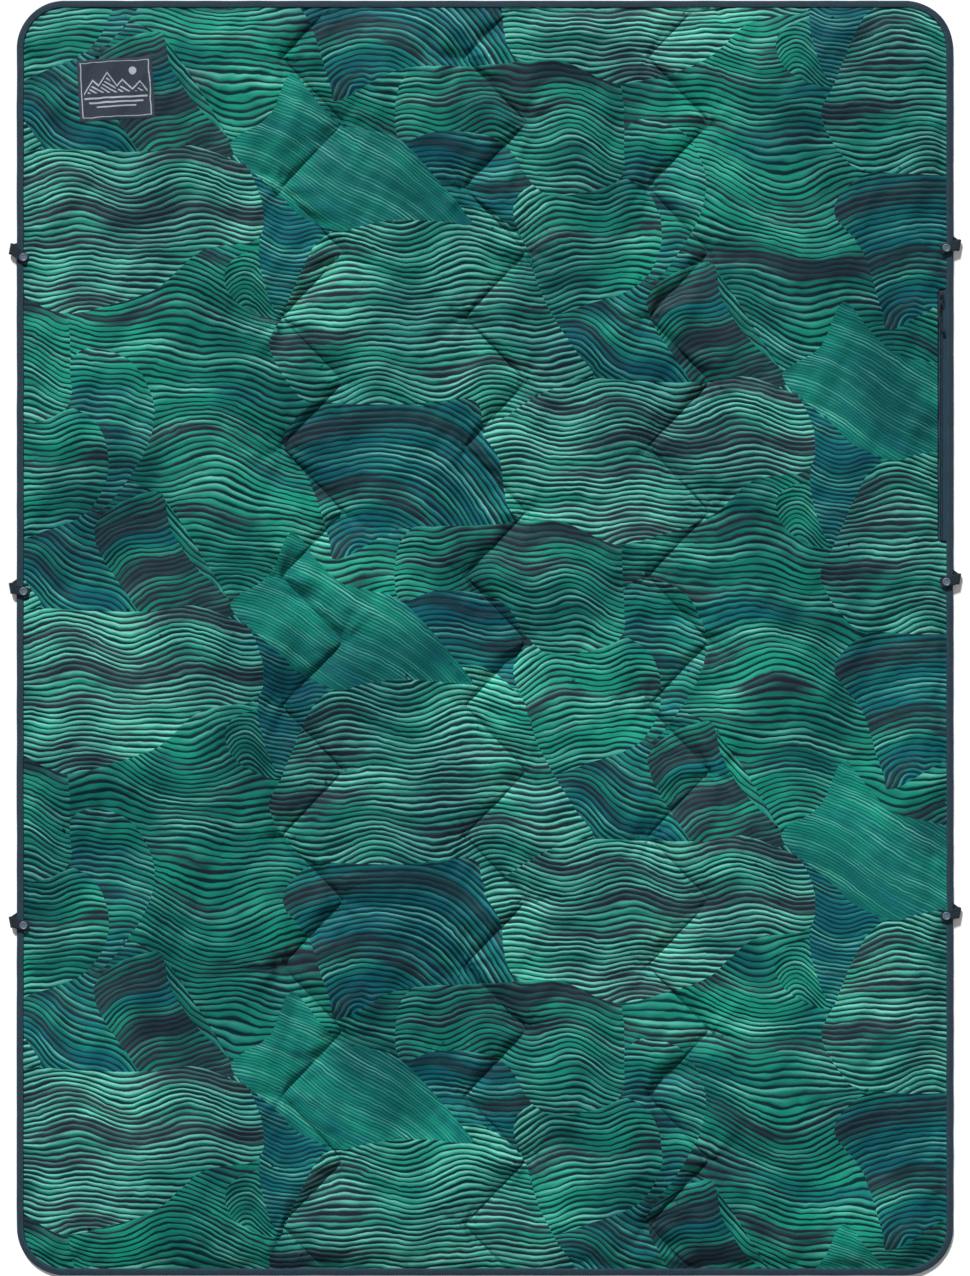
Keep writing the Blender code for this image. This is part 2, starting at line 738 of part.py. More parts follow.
def make_slider(finishes, coil_low):
    """The slider, at the slit's upper end with the zip closed, and the pull that hangs from its bail."""
    half_inside = COIL_SPACING / 2 + COIL_WIDTH + CLEARANCE
    half = half_inside + SLIDER_WALL
    neck = NECK_WIDTH / 2
    bottom = tape_z() - CLEARANCE - SLIDER_PLATE
    top = coil_low + COIL_HEIGHT + CLEARANCE
    right = [
        (half, bottom),
        (half, bottom + SLIDER_PLATE),
        (neck, bottom + SLIDER_PLATE),
        (neck, top),
        (half_inside, top),
        (half_inside, coil_low),
        (half, coil_low),
        (half, top + SLIDER_PLATE),
    ]
    section = right + [(-x, z) for x, z in reversed(right)]
    slider_y = SLIT_HIGH_Y - SLIDER_END_ROOM
    seat = empty("zip_slider_seat", (ZIP_X, slider_y, 0))
    ends = (-SLIDER_LENGTH / 2, SLIDER_LENGTH / 2)
    rings = [[(x, y, z) for x, z in section] for y in ends]
    slider = place(sweep("zip_slider", rings, finishes["slider"]), seat)

    pull_z = POCKET_FACE + CLOTH + CLEARANCE + PULL / 2
    plate_top = top + SLIDER_PLATE
    bail_top = pull_z + BAIL_WINDOW / 2 + BAIL_WALL / 2
    half_bail = BAIL_WIDTH / 2
    bail = box(
        "bail",
        (-half_bail, -BAIL_LENGTH / 2, plate_top - SLIDER_PLATE / 2),
        (half_bail, BAIL_LENGTH / 2, bail_top),
        finishes["slider"],
    )
    window = box(
        "bail_window",
        (-2 * half_bail, -BAIL_WINDOW / 2, pull_z - BAIL_WINDOW / 2),
        (2 * half_bail, BAIL_WINDOW / 2, pull_z + BAIL_WINDOW / 2),
        finishes["slider"],
    )
    boolean(slider, place(bail, seat), "UNION")
    boolean(slider, place(window, seat))

    pivot = empty("zip_pull_pivot", (ZIP_X, slider_y, pull_z))
    half_tab = PULL_TAB_WIDTH / 2
    tab = box(
        "zip_pull_tab",
        (-half_tab, -PULL_TAB_LENGTH, -PULL / 2),
        (half_tab, PULL_TAB_BAR / 2, PULL / 2),
        finishes["slider"],
    )
    tab_window = box(
        "tab_window",
        (-half_tab + PULL_TAB_SIDE, -PULL_TAB_LENGTH + PULL_TAB_SIDE, -PULL),
        (half_tab - PULL_TAB_SIDE, -PULL_TAB_BAR / 2, PULL),
        finishes["slider"],
    )
    boolean(place(tab, pivot), place(tab_window, pivot))

    start = PULL_TAB_LENGTH + CLEARANCE
    route = [(0.0, -start), (-0.003, -0.020), (-0.004, -0.030), (-0.001, -0.044), (0.003, -0.057)]
    rings = []
    for x, y in route:
        left, right_x = x - PULL_RIBBON_WIDTH / 2, x + PULL_RIBBON_WIDTH / 2
        low, high = -PULL / 2, PULL / 2
        rings.append([(left, y, low), (right_x, y, low), (right_x, y, high), (left, y, high)])
    place(sweep("zip_pull_ribbon", rings, finishes["ribbon"]), pivot)


def main():
    for old in list(bpy.data.objects):
        bpy.data.objects.remove(old, do_unlink=True)
    finishes = make_materials()
    shared_plan = plan()
    backing, face = make_layers(finishes, shared_plan)
    binding = make_binding(finishes)
    make_quilting(finishes, shared_plan)
    make_label(finishes)
    for name, side, snap_y, tilt in strap_places():
        make_strap(finishes, name, side, snap_y, tilt, (backing, face, binding))
    make_pocket(finishes)
    make_zip(finishes)


main()
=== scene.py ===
"""A quilted camp blanket laid flat, face up.

The quilt's plan is flat first: its outline, its three zigzag seams and the slit of its pocket. The
printed face is blown up over that plan as cloth that is held down at the seams, and everything that
lies on it takes its height from it.
"""

import json
import math
import random

import bmesh
import bpy
import numpy as np
from mathutils import Matrix, Vector, noise
from mathutils.bvhtree import BVHTree
from mathutils.geometry import barycentric_transform, delaunay_2d_cdt

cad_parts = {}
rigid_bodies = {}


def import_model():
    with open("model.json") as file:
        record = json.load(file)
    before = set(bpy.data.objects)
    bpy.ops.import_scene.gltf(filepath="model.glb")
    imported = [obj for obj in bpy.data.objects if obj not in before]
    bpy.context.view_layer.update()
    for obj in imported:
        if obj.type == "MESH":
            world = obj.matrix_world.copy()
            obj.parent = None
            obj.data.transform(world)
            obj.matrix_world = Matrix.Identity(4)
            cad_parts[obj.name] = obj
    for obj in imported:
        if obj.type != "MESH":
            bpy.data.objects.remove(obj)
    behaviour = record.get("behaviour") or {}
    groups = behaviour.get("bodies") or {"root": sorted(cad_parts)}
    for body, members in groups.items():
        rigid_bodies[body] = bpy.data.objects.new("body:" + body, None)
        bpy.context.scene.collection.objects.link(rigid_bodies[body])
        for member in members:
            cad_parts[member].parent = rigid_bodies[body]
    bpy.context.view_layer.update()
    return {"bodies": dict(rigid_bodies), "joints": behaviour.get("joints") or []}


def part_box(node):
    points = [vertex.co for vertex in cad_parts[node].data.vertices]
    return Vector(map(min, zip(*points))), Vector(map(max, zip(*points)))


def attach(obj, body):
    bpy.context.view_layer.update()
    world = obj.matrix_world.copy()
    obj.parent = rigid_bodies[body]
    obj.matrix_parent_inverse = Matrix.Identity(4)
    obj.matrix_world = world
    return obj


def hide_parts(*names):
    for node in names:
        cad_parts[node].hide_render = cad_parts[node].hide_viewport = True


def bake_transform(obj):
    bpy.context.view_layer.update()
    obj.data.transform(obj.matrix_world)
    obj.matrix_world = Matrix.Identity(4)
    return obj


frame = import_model()

MM = 0.001
UP = Vector((0, 0, 1))

# What the frame says about the blanket
edge_low, edge_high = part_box("edge_binding")
HALF_WIDTH, HALF_LENGTH, BINDING_TOP = edge_high
BINDING_LOW = edge_low.z
FACE_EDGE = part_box("face_fabric")[0].z + 0.8 * MM
SLIT_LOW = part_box("zip_tape_inner")[0]
SLIT_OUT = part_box("zip_tape_outer")[1]
POCKET_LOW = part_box("pocket_panel_lower")[0]
POCKET_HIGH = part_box("pocket_panel_upper")[1]

CORNER_RADIUS = 72 * MM
BINDING_WIDTH = 10.5 * MM
SLIT_X = (SLIT_LOW.x + 3 * MM, SLIT_OUT.x - 0.4 * MM)
SLIT_Y = (SLIT_LOW.y - 0.3 * MM, SLIT_OUT.y + 0.3 * MM)

# Quilting
SEAMS = {"left": -258 * MM, "centre": 15.5 * MM, "right": 289 * MM}
SEAM_PERIOD = 193.7 * MM
SEAM_SWING = 46.5 * MM
SEAM_PHASE = 866 * MM
SEAM_END = 12.5 * MM
SEAM_HEIGHT = 3.4 * MM
PLAN_INSET = 2 * MM
ROW_STEP = 0.866
SEAM_SLOPE = math.cos(math.atan(4 * SEAM_SWING / SEAM_PERIOD))
LOFT = 9.5 * MM
POCKET_COVER = 8.6 * MM
PUFF = 6.0 * MM
FACE_FLOOR = 2.7 * MM
FACE_CEILING = 21.5 * MM
CREASE_ROWS = [shift * MM for shift in (-7.5, -3.6, -1.6, 1.6, 3.6, 7.5)]

# Stitches: (pitch, length, width, height)
EDGE_STITCH = (3.2 * MM, 2.5 * MM, 0.5 * MM, 0.45 * MM)
SEAM_STITCH = (3.2 * MM, 2.5 * MM, 0.5 * MM, 0.4 * MM)
LABEL_STITCH = (3.0 * MM, 2.3 * MM, 0.45 * MM, 0.4 * MM)


# Finishes


class Tone:
    """A shader socket that can be added, multiplied and compared like a number."""

    def __init__(self, finish, socket):
        self.finish = finish
        self.socket = socket

    def sum(self, operation, *others):
        sockets = dict(enumerate((self, *others)))
        return self.finish.node("ShaderNodeMath", {"operation": operation}, sockets)

    def __add__(self, other):
        return self.sum("ADD", other)

    def __mul__(self, other):
        return self.sum("MULTIPLY", other)

    def __sub__(self, other):
        return self.sum("SUBTRACT", other)

    __radd__ = __add__
    __rmul__ = __mul__

    def sine(self):
        return self.sum("SINE")

    def clip(self, low, high, to_low=0.0, to_high=1.0):
        """The share of the way from low to high, eased, from to_low to to_high."""
        sockets = {"Value": self, "From Min": low, "From Max": high}
        sockets |= {"To Min": to_low, "To Max": to_high}
        return self.finish.node("ShaderNodeMapRange", {"interpolation_type": "SMOOTHSTEP"}, sockets)


class Finish:
    """A material with one shader, and the nodes that vary it over a surface."""

    def __init__(self, name, colour, roughness, **fixed):
        self.material = bpy.data.materials.new(name)
        self.material.use_nodes = True
        self.tree = self.material.node_tree
        self.shader = self.tree.nodes["Principled BSDF"]
        self.shader.inputs["Base Color"].default_value = (*colour, 1.0)
        self.shader.inputs["Roughness"].default_value = roughness
        for socket, value in fixed.items():
            self.input(socket).default_value = value
        self.material.diffuse_color = (*colour, 1.0)

    def input(self, name):
        """The shader's socket of this name, however it is capitalised."""
        wanted = name.replace("_", " ").lower()
        return next(socket for socket in self.shader.inputs if socket.name.lower() == wanted)

    def join(self, socket, value):
        if isinstance(value, Tone):
            self.tree.links.new(value.socket, socket)
        elif isinstance(value, tuple) and len(value) == 3 and socket.type == "RGBA":
            socket.default_value = (*value, 1.0)
        else:
            socket.default_value = value

    def node(self, kind, settings=None, sockets=None, output=0):
        made = self.tree.nodes.new(kind)
        for setting, value in (settings or {}).items():
            setattr(made, setting, value)
        for socket, value in (sockets or {}).items():
            self.join(made.inputs[socket], value)
        return Tone(self, made.outputs[output])

    def set(self, **varying):
        for socket, value in varying.items():
            self.join(self.input(socket), value)
        return self

    def place(self):
        return self.node("ShaderNodeTexCoord", output="Object")

    def axes(self, vector):
        made = self.node("ShaderNodeSeparateXYZ", sockets={0: vector}).socket.node
        return [Tone(self, made.outputs[i]) for i in range(3)]

    def joined(self, x, y, z=0.0):
        return self.node("ShaderNodeCombineXYZ", sockets={0: x, 1: y, 2: z})

    def clouds(self, vector, scale, detail=2.0, roughness=0.5):
        sockets = {"Vector": vector, "Scale": scale, "Detail": detail, "Roughness": roughness}
        return self.node("ShaderNodeTexNoise", sockets=sockets)

    def blend(self, share, first, second, kind="MIX"):
        settings = {"data_type": "RGBA", "clamp_factor": True, "blend_type": kind}
        return self.node("ShaderNodeMix", settings, {0: share, 6: first, 7: second}, output=2)

    def relief(self, height, distance):
        sockets = {"Strength": 1.0, "Distance": distance, "Height": height}
        return self.set(Normal=self.node("ShaderNodeBump", sockets=sockets))


def weave(finish, pitch):
    """Two sets of threads at right angles, as a height from 0 to 1."""
    x, y, _ = finish.axes(finish.place())
    warp = (x * (math.tau / pitch)).sine()
    weft = (y * (math.tau / pitch)).sine()
    return (warp * weft) * 0.5 + 0.5


def times(colour, share, most=1.0):
    return tuple(min(c * share, most) for c in colour)


def cloth_finish(name, colour, roughness, pitch, depth):
    """Plain woven cloth: threads, uneven dye and a little bloom."""
    bloom = {"sheen_weight": 0.2, "sheen_roughness": 0.5, "specular_ior_level": 0.1}
    made = Finish(name, colour, roughness, **bloom)
    threads = weave(made, pitch)
    uneven = made.clouds(made.place(), 38.0, 4.0, 0.6)
    dyed = made.blend(uneven * 0.7 + threads * 0.3, times(colour, 0.75), times(colour, 1.55))
    made.set(Base_Color=dyed)
    made.set(Roughness=uneven.clip(0.3, 0.7, roughness - 0.06, roughness + 0.08))
    made.relief(threads + uneven * 0.5, depth)
    return made


def ribbed_finish(name, colour, roughness, pitch, depth):
    """Grosgrain and zip tape: ribs across the ribbon's own length."""
    bloom = {"sheen_weight": 0.05, "sheen_roughness": 0.45, "specular_ior_level": 0.1}
    made = Finish(name, colour, roughness, **bloom)
    x, y, _ = made.axes(made.node("ShaderNodeUVMap", {"uv_map": "UVMap"}))
    ribs = (y * (math.tau / pitch)).sine() * 0.5 + 0.5
    threads = (x * (math.tau / (pitch * 0.6))).sine() * 0.5 + 0.5
    uneven = made.clouds(made.place(), 120.0, 3.0)
    light = tuple(c * 1.7 + 0.004 for c in colour)
    made.set(Base_Color=made.blend(ribs * 0.5 + uneven * 0.5, times(colour, 0.7), light))
    made.relief(ribs + threads * 0.4, depth)
    return made


def thread_finish(name, colour):
    """Twisted thread."""
    made = Finish(name, colour, 0.55, sheen_weight=0.3, specular_ior_level=0.4)
    uneven = made.clouds(made.place(), 900.0, 2.0)
    made.set(Base_Color=made.blend(uneven, times(colour, 0.6), times(colour, 1.8)))
    made.relief(uneven, 0.1 * MM)
    return made


def cast_finish(name, colour, roughness, metallic):
    """Smooth hard pieces: a little uneven, with duller patches from handling."""
    made = Finish(name, colour, roughness, metallic=metallic, specular_ior_level=0.5)
    uneven = made.clouds(made.place(), 420.0, 4.0, 0.6)
    made.set(Base_Color=made.blend(uneven, times(colour, 0.75), times(colour, 1.35)))
    made.set(Roughness=uneven.clip(0.3, 0.7, roughness - 0.08, roughness + 0.12))
    made.relief(uneven, 0.03 * MM)
    return made


def printed_finish():
    """Wavy painted lines. The piece's map gives the place along a line and the line's number."""
    made = Finish("printed_taffeta", (0.012, 0.100, 0.090), 0.55, specular_ior_level=0.05)
    along, line, _ = made.axes(made.node("ShaderNodeUVMap", {"uv_map": "lines"}))
    dye = made.node("ShaderNodeAttribute", {"attribute_name": "dye"}, output="Color")
    mint, blue, plum = made.axes(dye)
    place = made.place()

    drift = made.clouds(made.joined(along * 9.0, line * 0.10), 1.0, 2.0)
    wobble = made.clouds(made.joined(along * 40.0, line * 0.7), 1.0, 1.0)
    bent = line + drift * 2.2 + wobble * 0.14
    turn = bent.sum("FRACT")
    width = made.clouds(made.joined(along * 12.0, line * 0.45, 4.0), 1.0, 2.0)
    dark = width.clip(0.3, 0.7, 0.20, 0.50)
    rise = turn.clip(dark - 0.16, dark + 0.10)
    band = rise * turn.clip(0.90, 1.0, 1.0, 0.0)
    crest = turn.clip(dark + 0.05, 0.80) * turn.clip(0.86, 0.98, 1.0, 0.0)

    wash = made.clouds(place, 7.0, 3.0, 0.55)
    streak = made.clouds(made.joined(along * 4.0, line * 0.16, 7.0), 1.0, 3.0, 0.6)
    light = made.clouds(made.joined(along * 6.0, line * 0.30, 13.0), 1.0, 2.0)
    pool = made.clouds(made.joined(along * 3.6, line * 0.20, 21.0), 1.0, 3.0)

    body = made.blend(wash.clip(0.36, 0.64), (0.004, 0.085, 0.074), (0.008, 0.220, 0.150))
    body = made.blend((streak + blue * 0.30).clip(0.56, 0.84), body, (0.004, 0.080, 0.108))
    body = made.blend((pool + plum * 0.16).clip(0.58, 0.70), body, (0.012, 0.034, 0.044))
    bright = (light + mint * 0.30).clip(0.45, 0.85)
    gleam = made.blend(bright, (0.014, 0.270, 0.205), (0.160, 0.500, 0.420))
    lit = (light + mint * 0.25).clip(0.32, 0.80, 0.08, 0.95)
    lit = lit * (pool + plum * 0.16).clip(0.58, 0.72, 1.0, 0.2)
    body = made.blend(crest * lit, body, gleam)
    murky = (pool + plum * 0.2).clip(0.50, 0.66)
    furrow = made.blend(murky, (0.0015, 0.020, 0.024), (0.014, 0.016, 0.026))
    furrow = made.blend((streak + blue * 0.25).clip(0.62, 0.90), furrow, (0.002, 0.028, 0.044))
    furrow = made.blend(plum.clip(-1.0, 0.0, 0.85, 0.0), furrow, (0.004, 0.098, 0.098))
    light_places = made.clouds(place, 4.5, 2.0, 0.5).clip(0.38, 0.62)
    glow = made.blend(light_places, (0.58, 0.64, 0.70), (1.12, 1.10, 1.06))
    made.set(Base_Color=made.blend(1.0, made.blend(band, furrow, body), glow, "MULTIPLY"))
    made.set(Roughness=wash.clip(0.3, 0.7, 0.52, 0.62))
    threads = weave(made, 0.7 * MM)
    crumple = made.clouds(place, 60.0, 4.0, 0.6)
    made.relief(crumple * 0.9 + threads * 0.05, 1.2 * MM)
    return made


# Pieces


def pack_away(made, body, node, slot):
    """Puts a finished piece on its body, in place of its node."""
    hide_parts(node)
    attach(made, body)


def placed(name, data, finish=None):
    """An object in the scene. A mesh with a finish is shaded smooth."""
    if finish:
        data.materials.append(finish.material)
        data.shade_smooth()
    made = bpy.data.objects.new(name, data)
    bpy.context.scene.collection.objects.link(made)
    return made


def piece(bm, name, finish):
    mesh = bpy.data.meshes.new(name)
    bm.to_mesh(mesh)
    bm.free()
    return placed(name, mesh, finish)


def shown(made):
    """The piece as its modifiers leave it."""
    return made.evaluated_get(bpy.context.evaluated_depsgraph_get())


def mesh_of(name, points, faces):
    mesh = bpy.data.meshes.new(name)
    mesh.from_pydata(points.tolist(), [], faces)
    return mesh


def read(rows, what, width=3, kind=np.float32):
    """A value of every row of mesh data, as an array with a line for each."""
    values = np.empty(len(rows) * width, dtype=kind)
    rows.foreach_get(what, values)
    return values.reshape(-1, width)


def write(rows, what, values):
    rows.foreach_set(what, np.asarray(values, dtype=np.float32).ravel())


def thicken(made, thickness, offset=0.0):
    """The sheet with a wall of this thickness, made part of its mesh."""
    wall = made.modifiers.new("wall", "SOLIDIFY")
    wall.thickness = thickness
    wall.offset = offset
    mesh = bpy.data.meshes.new_from_object(shown(made))
    made.modifiers.clear()
    thin, made.data = made.data, mesh
    name = thin.name
    bpy.data.meshes.remove(thin)
    mesh.name = name
    return made


def strip(name, finish, across, along, shape, turned=False, size=(1.0, 1.0)):
    """A grid bent to shape(u, v), u across and v along, both 0 to 1. A ring closes on itself."""
    bm = bmesh.new()
    bmesh.ops.create_grid(bm, x_segments=across, y_segments=along, size=0.5)
    widest = max(v.co.x for v in bm.verts)
    shares = {v: (v.co.x / widest / 2 + 0.5, v.co.y / widest / 2 + 0.5) for v in bm.verts}
    chart = bm.loops.layers.uv.new("UVMap")
    for face in bm.faces:
        for loop in face.loops:
            u, v = shares[loop.vert]
            loop[chart].uv = (u * size[0], v * size[1])
    for vert, (u, v) in shares.items():
        vert.co = shape(u, v)
    bmesh.ops.remove_doubles(bm, verts=bm.verts, dist=1e-7)
    if turned:
        bmesh.ops.reverse_faces(bm, faces=bm.faces)
    return piece(bm, name, finish)


def turning(name, finish, profile, centre):
    """A profile of (radius, height) points spun about the upright through centre."""
    bm = bmesh.new()
    verts = [bm.verts.new((radius, 0.0, height)) for radius, height in profile]
    hollow = min(radius for radius, _ in profile) > 0
    edges = [bm.edges.new(pair) for pair in zip(verts, verts[1:] + verts[:1] * hollow)]
    about = {"cent": (0, 0, 0), "axis": (0, 0, 1), "angle": math.tau, "steps": 40}
    bmesh.ops.spin(bm, geom=verts + edges, use_merge=True, use_duplicate=False, **about)
    bmesh.ops.remove_doubles(bm, verts=bm.verts, dist=1e-7)
    bmesh.ops.recalc_face_normals(bm, faces=bm.faces)
    bmesh.ops.translate(bm, verts=bm.verts, vec=centre)
    return piece(bm, name, finish)


def beads(name, finish, turns, around=6, rings=4):
    """A small rounded bead, repeated with each of these placements."""
    bm = bmesh.new()
    lying = Matrix.Rotation(math.pi / 2, 4, "Y")
    bmesh.ops.create_uvsphere(bm, u_segments=around, v_segments=rings, radius=1.0, matrix=lying)
    bm.verts.index_update()
    shape = np.array([(*vert.co, 1.0) for vert in bm.verts])
    faces = [[vert.index for vert in face.verts] for face in bm.faces]
    bm.free()
    turns = np.array([[list(row) for row in turn] for turn in turns])
    places = np.einsum("nij,kj->nki", turns, shape)[:, :, :3].reshape(-1, 3)
    starts = range(0, len(places), len(shape))
    corners = [[first + i for i in face] for first in starts for face in faces]
    return placed(name, mesh_of(name, places, corners), finish)


def stitches(name, finish, path, size):
    """One small bead of thread for each stitch along a path of (point, up)."""
    pitch, length, width, height = size
    rng = random.Random(name)
    walked, travelled = [0.0], 0.0
    for (a, _), (b, _) in zip(path, path[1:]):
        travelled += (b - a).length
        walked.append(travelled)
    count = max(int(travelled / pitch), 1)
    at, turns = 0, []
    for i in range(count):
        goal = (i + 0.5) * travelled / count
        while walked[at + 1] < goal:
            at += 1
        share = (goal - walked[at]) / max(walked[at + 1] - walked[at], 1e-9)
        point = path[at][0].lerp(path[at + 1][0], share)
        up = path[at][1].lerp(path[at + 1][1], share).normalized()
        ahead = (path[at + 1][0] - path[at][0]).normalized()
        side = up.cross(ahead).normalized()
        ahead = (ahead + side * rng.uniform(-0.10, 0.10)).normalized()
        side = up.cross(ahead).normalized()
        ways = Matrix((ahead * length / 2, side * width / 2, ahead.cross(side) * height / 2))
        turns.append(Matrix.Translation(point) @ ways.transposed().to_4x4())
    return beads(name, finish, turns)


# Plan of the quilt


def spaced(points, step, closed=False):
    """The same line with points about a step apart."""
    dense = []
    for (ax, ay), (bx, by) in zip(points, points[1:] + points[:1] * closed):
        parts = max(round(math.hypot(bx - ax, by - ay) / step), 1)
        dense += [(ax + (bx - ax) * i / parts, ay + (by - ay) * i / parts) for i in range(parts)]
    return dense if closed else dense + [points[-1]]


def outline(inset, step):
    """The blanket's rounded rectangle, this far in from its edge, anticlockwise."""
    radius = CORNER_RADIUS - inset
    steps = max(round(math.pi / 2 * radius / step), 6)
    points = []
    for quarter, (sx, sy) in enumerate(((1, 1), (-1, 1), (-1, -1), (1, -1))):
        middle_x = sx * (HALF_WIDTH - CORNER_RADIUS)
        middle_y = sy * (HALF_LENGTH - CORNER_RADIUS)
        for i in range(steps + 1):
            angle = math.pi / 2 * (quarter + i / steps)
            x, y = radius * math.cos(angle), radius * math.sin(angle)
            points.append((middle_x + x, middle_y + y))
    return spaced(points, step, closed=True)


def inset_of(x, y):
    """How far points are in from the edge."""
    over_x = np.abs(x) - (HALF_WIDTH - CORNER_RADIUS)
    over_y = np.abs(y) - (HALF_LENGTH - CORNER_RADIUS)
    outside = np.hypot(np.maximum(over_x, 0), np.maximum(over_y, 0))
    return CORNER_RADIUS - outside - np.minimum(np.maximum(over_x, over_y), 0)


def seam_x(column, y):
    share = ((y - SEAM_PHASE) / SEAM_PERIOD) % 1.0
    return column - SEAM_SWING * (4 * np.abs(share - 0.5) - 1)


def seam_line(column, step, shift=0.0):
    """A zigzag seam from end to end, with its turns just rounded."""
    end = HALF_LENGTH - SEAM_END
    count = round(2 * end / (step * SEAM_SLOPE))
    ys = np.linspace(-end, end, count + 1)
    xs = (seam_x(column, ys - 1.5 * MM) + seam_x(column, ys + 1.5 * MM)) / 2 + shift
    return list(zip(xs.tolist(), ys.tolist()))


def seam_distance(x, y):
    return np.min([np.abs(x - seam_x(column, y)) for column in SEAMS.values()], axis=0) * SEAM_SLOPE


def eased(value, low, high):
    share = np.clip((value - low) / (high - low), 0, 1)
    return share * share * (3 - 2 * share)


def resting_height(x, y):
    """The face's height as it would lie without any puff."""
    inset = inset_of(x, y)
    height = FACE_EDGE + (LOFT - FACE_EDGE) * eased(inset, 16 * MM, 60 * MM)
    seam = np.exp(-seam_distance(x, y) / (14 * MM))
    seam = seam * (np.abs(y) < HALF_LENGTH - SEAM_END)
    height = height + (SEAM_HEIGHT - height) * seam
    beside = np.maximum(POCKET_LOW.x - x, x - SLIT_X[0] - 1 * MM)
    beyond = np.maximum(POCKET_LOW.y - y, y - POCKET_HIGH.y)
    away = np.hypot(np.maximum(beside, 0), np.maximum(beyond, 0))
    return np.maximum(height, POCKET_COVER * (1 - eased(away, 1 * MM, 14 * MM)))


def in_slit(x, y, margin=0.0):
    """Which points lie in the slit's box with this much round it."""
    aside = np.abs(x - sum(SLIT_X) / 2) < (SLIT_X[1] - SLIT_X[0]) / 2 + margin
    return aside & (np.abs(y - sum(SLIT_Y) / 2) < (SLIT_Y[1] - SLIT_Y[0]) / 2 + margin)


def plan(step, lines=(), slitted=True):
    """A flat, even mesh of the face: the outline, the slit and the given lines are edges."""
    corners = [(SLIT_X[i], SLIT_Y[j]) for i, j in ((0, 0), (1, 0), (1, 1), (0, 1))]
    chains = [(outline(PLAN_INSET, step), True)]
    chains += [(spaced(corners, step, closed=True), True)] * slitted
    chains += [(seam_line(column, step), False) for column in SEAMS.values()]
    chains += list(lines)
    points, edges = [], []
    for chain, closed in chains:
        first = len(points)
        points += chain
        edges += [(first + i, first + i + 1) for i in range(len(chain) - 1)]
        if closed:
            edges.append((len(points) - 1, first))
    rng = np.random.default_rng(7)
    rows = int(2 * HALF_LENGTH / (step * ROW_STEP)) + 1
    columns = int(2 * HALF_WIDTH / step) + 1
    row_y = np.arange(rows) * step * ROW_STEP - HALF_LENGTH
    y, x = np.meshgrid(row_y, np.arange(columns) * step - HALF_WIDTH, indexing="ij")
    x = x + (np.arange(rows)[:, None] % 2) * step / 2
    x, y = ((at + rng.uniform(-0.18, 0.18, at.shape) * step).ravel() for at in (x, y))
    keep = (inset_of(x, y) > PLAN_INSET + step * 0.6) & (seam_distance(x, y) > step * 0.55)
    keep &= ~(in_slit(x, y, step / 2) & slitted)
    points += list(zip(x[keep].tolist(), y[keep].tolist()))
    made = delaunay_2d_cdt([Vector(p) for p in points], edges, [], 0, 1e-6)
    corners = np.array(made[0])[:, :2]
    faces = np.array(made[2])
    x, y = corners[faces].mean(axis=1).T
    faces = faces[(inset_of(x, y) > PLAN_INSET - 1e-5) & ~(in_slit(x, y) & slitted)]
    used, faces = np.unique(faces, return_inverse=True)
    faces = faces.reshape(-1, 3)
    corners = corners[used]
    a, b, c = (corners[faces[:, i]] for i in range(3))
    (ab_x, ab_y), (ac_x, ac_y) = (b - a).T, (c - a).T
    backwards = ab_x * ac_y < ab_y * ac_x
    faces[backwards] = faces[backwards][:, ::-1]
    return corners, faces


def flat_mesh(name, corners, faces, height):
    return mesh_of(name, np.column_stack((corners, height)), faces.tolist())


# The face, blown up as cloth


def lumps(x, y, scale, seed):
    """Smooth seeded noise at each point, about -1 to 1."""
    places = zip((x * scale).tolist(), (y * scale).tolist())
    return np.array([noise.noise(Vector((*place, seed))) for place in places])


CLOTH_FRAMES = 20
CLOTH = {
    "quality": 4,
    "mass": 0.12,
    "tension_stiffness": 20,
    "compression_stiffness": 12,
    "shear_stiffness": 4,
    "bending_stiffness": 0.25,
    "air_damping": 6,
    "vertex_group_mass": "held",
    "shrink_min": -0.035,
}


def blow_up(corners, faces):
    """The face's points after loose cloth is lifted while held at its seams and edge."""
    x, y = corners[:, 0], corners[:, 1]
    height = resting_height(x, y)
    seams = seam_distance(x, y)
    inset = inset_of(x, y)
    puff = 1.0 - np.exp(-seams / (22 * MM))
    rise = puff * eased(inset, 14 * MM, 60 * MM)
    ripple = lumps(x, y, 26.0, 3.0) * 1.6 * MM + lumps(x, y, 55.0, 9.0) * 0.8 * MM
    height = height + rise * (1.2 * MM + ripple)
    made = placed("face_cloth", flat_mesh("face_cloth", corners, faces, height))
    held = (seams < 1.5 * MM) & (np.abs(y) < HALF_LENGTH - SEAM_END + 1 * MM) | (inset < 13 * MM)
    by_slit = (x > SLIT_X[0] - 4 * MM) & (y > SLIT_Y[0] - 4 * MM) & (y < SLIT_Y[1] + 4 * MM)
    pins = made.vertex_groups.new(name="held")
    pins.add(np.flatnonzero(held | by_slit).tolist(), 1.0, "REPLACE")
    cloth = made.modifiers.new("cloth", "CLOTH")
    for setting, value in CLOTH.items():
        setattr(cloth.settings, setting, value)
    cloth.collision_settings.use_collision = False
    cloth.point_cache.frame_start = 1
    cloth.point_cache.frame_end = CLOTH_FRAMES
    scene = bpy.context.scene
    usual, scene.gravity = scene.gravity.copy(), (0.0, 0.0, 9.0)
    for number in range(1, CLOTH_FRAMES + 1):
        scene.frame_set(number)
    lifted = read(shown(made).to_mesh().vertices, "co", kind=float)
    scene.frame_set(1)
    scene.gravity = usual
    bpy.data.objects.remove(made)
    flat = np.column_stack((x, y, height))
    moved = (lifted - flat) * 0.6
    risen = np.maximum(lifted[:, 2] - height, 0)
    moved[:, 2] = PUFF * (1 - np.exp(-risen / (22 * MM)))
    return flat + moved


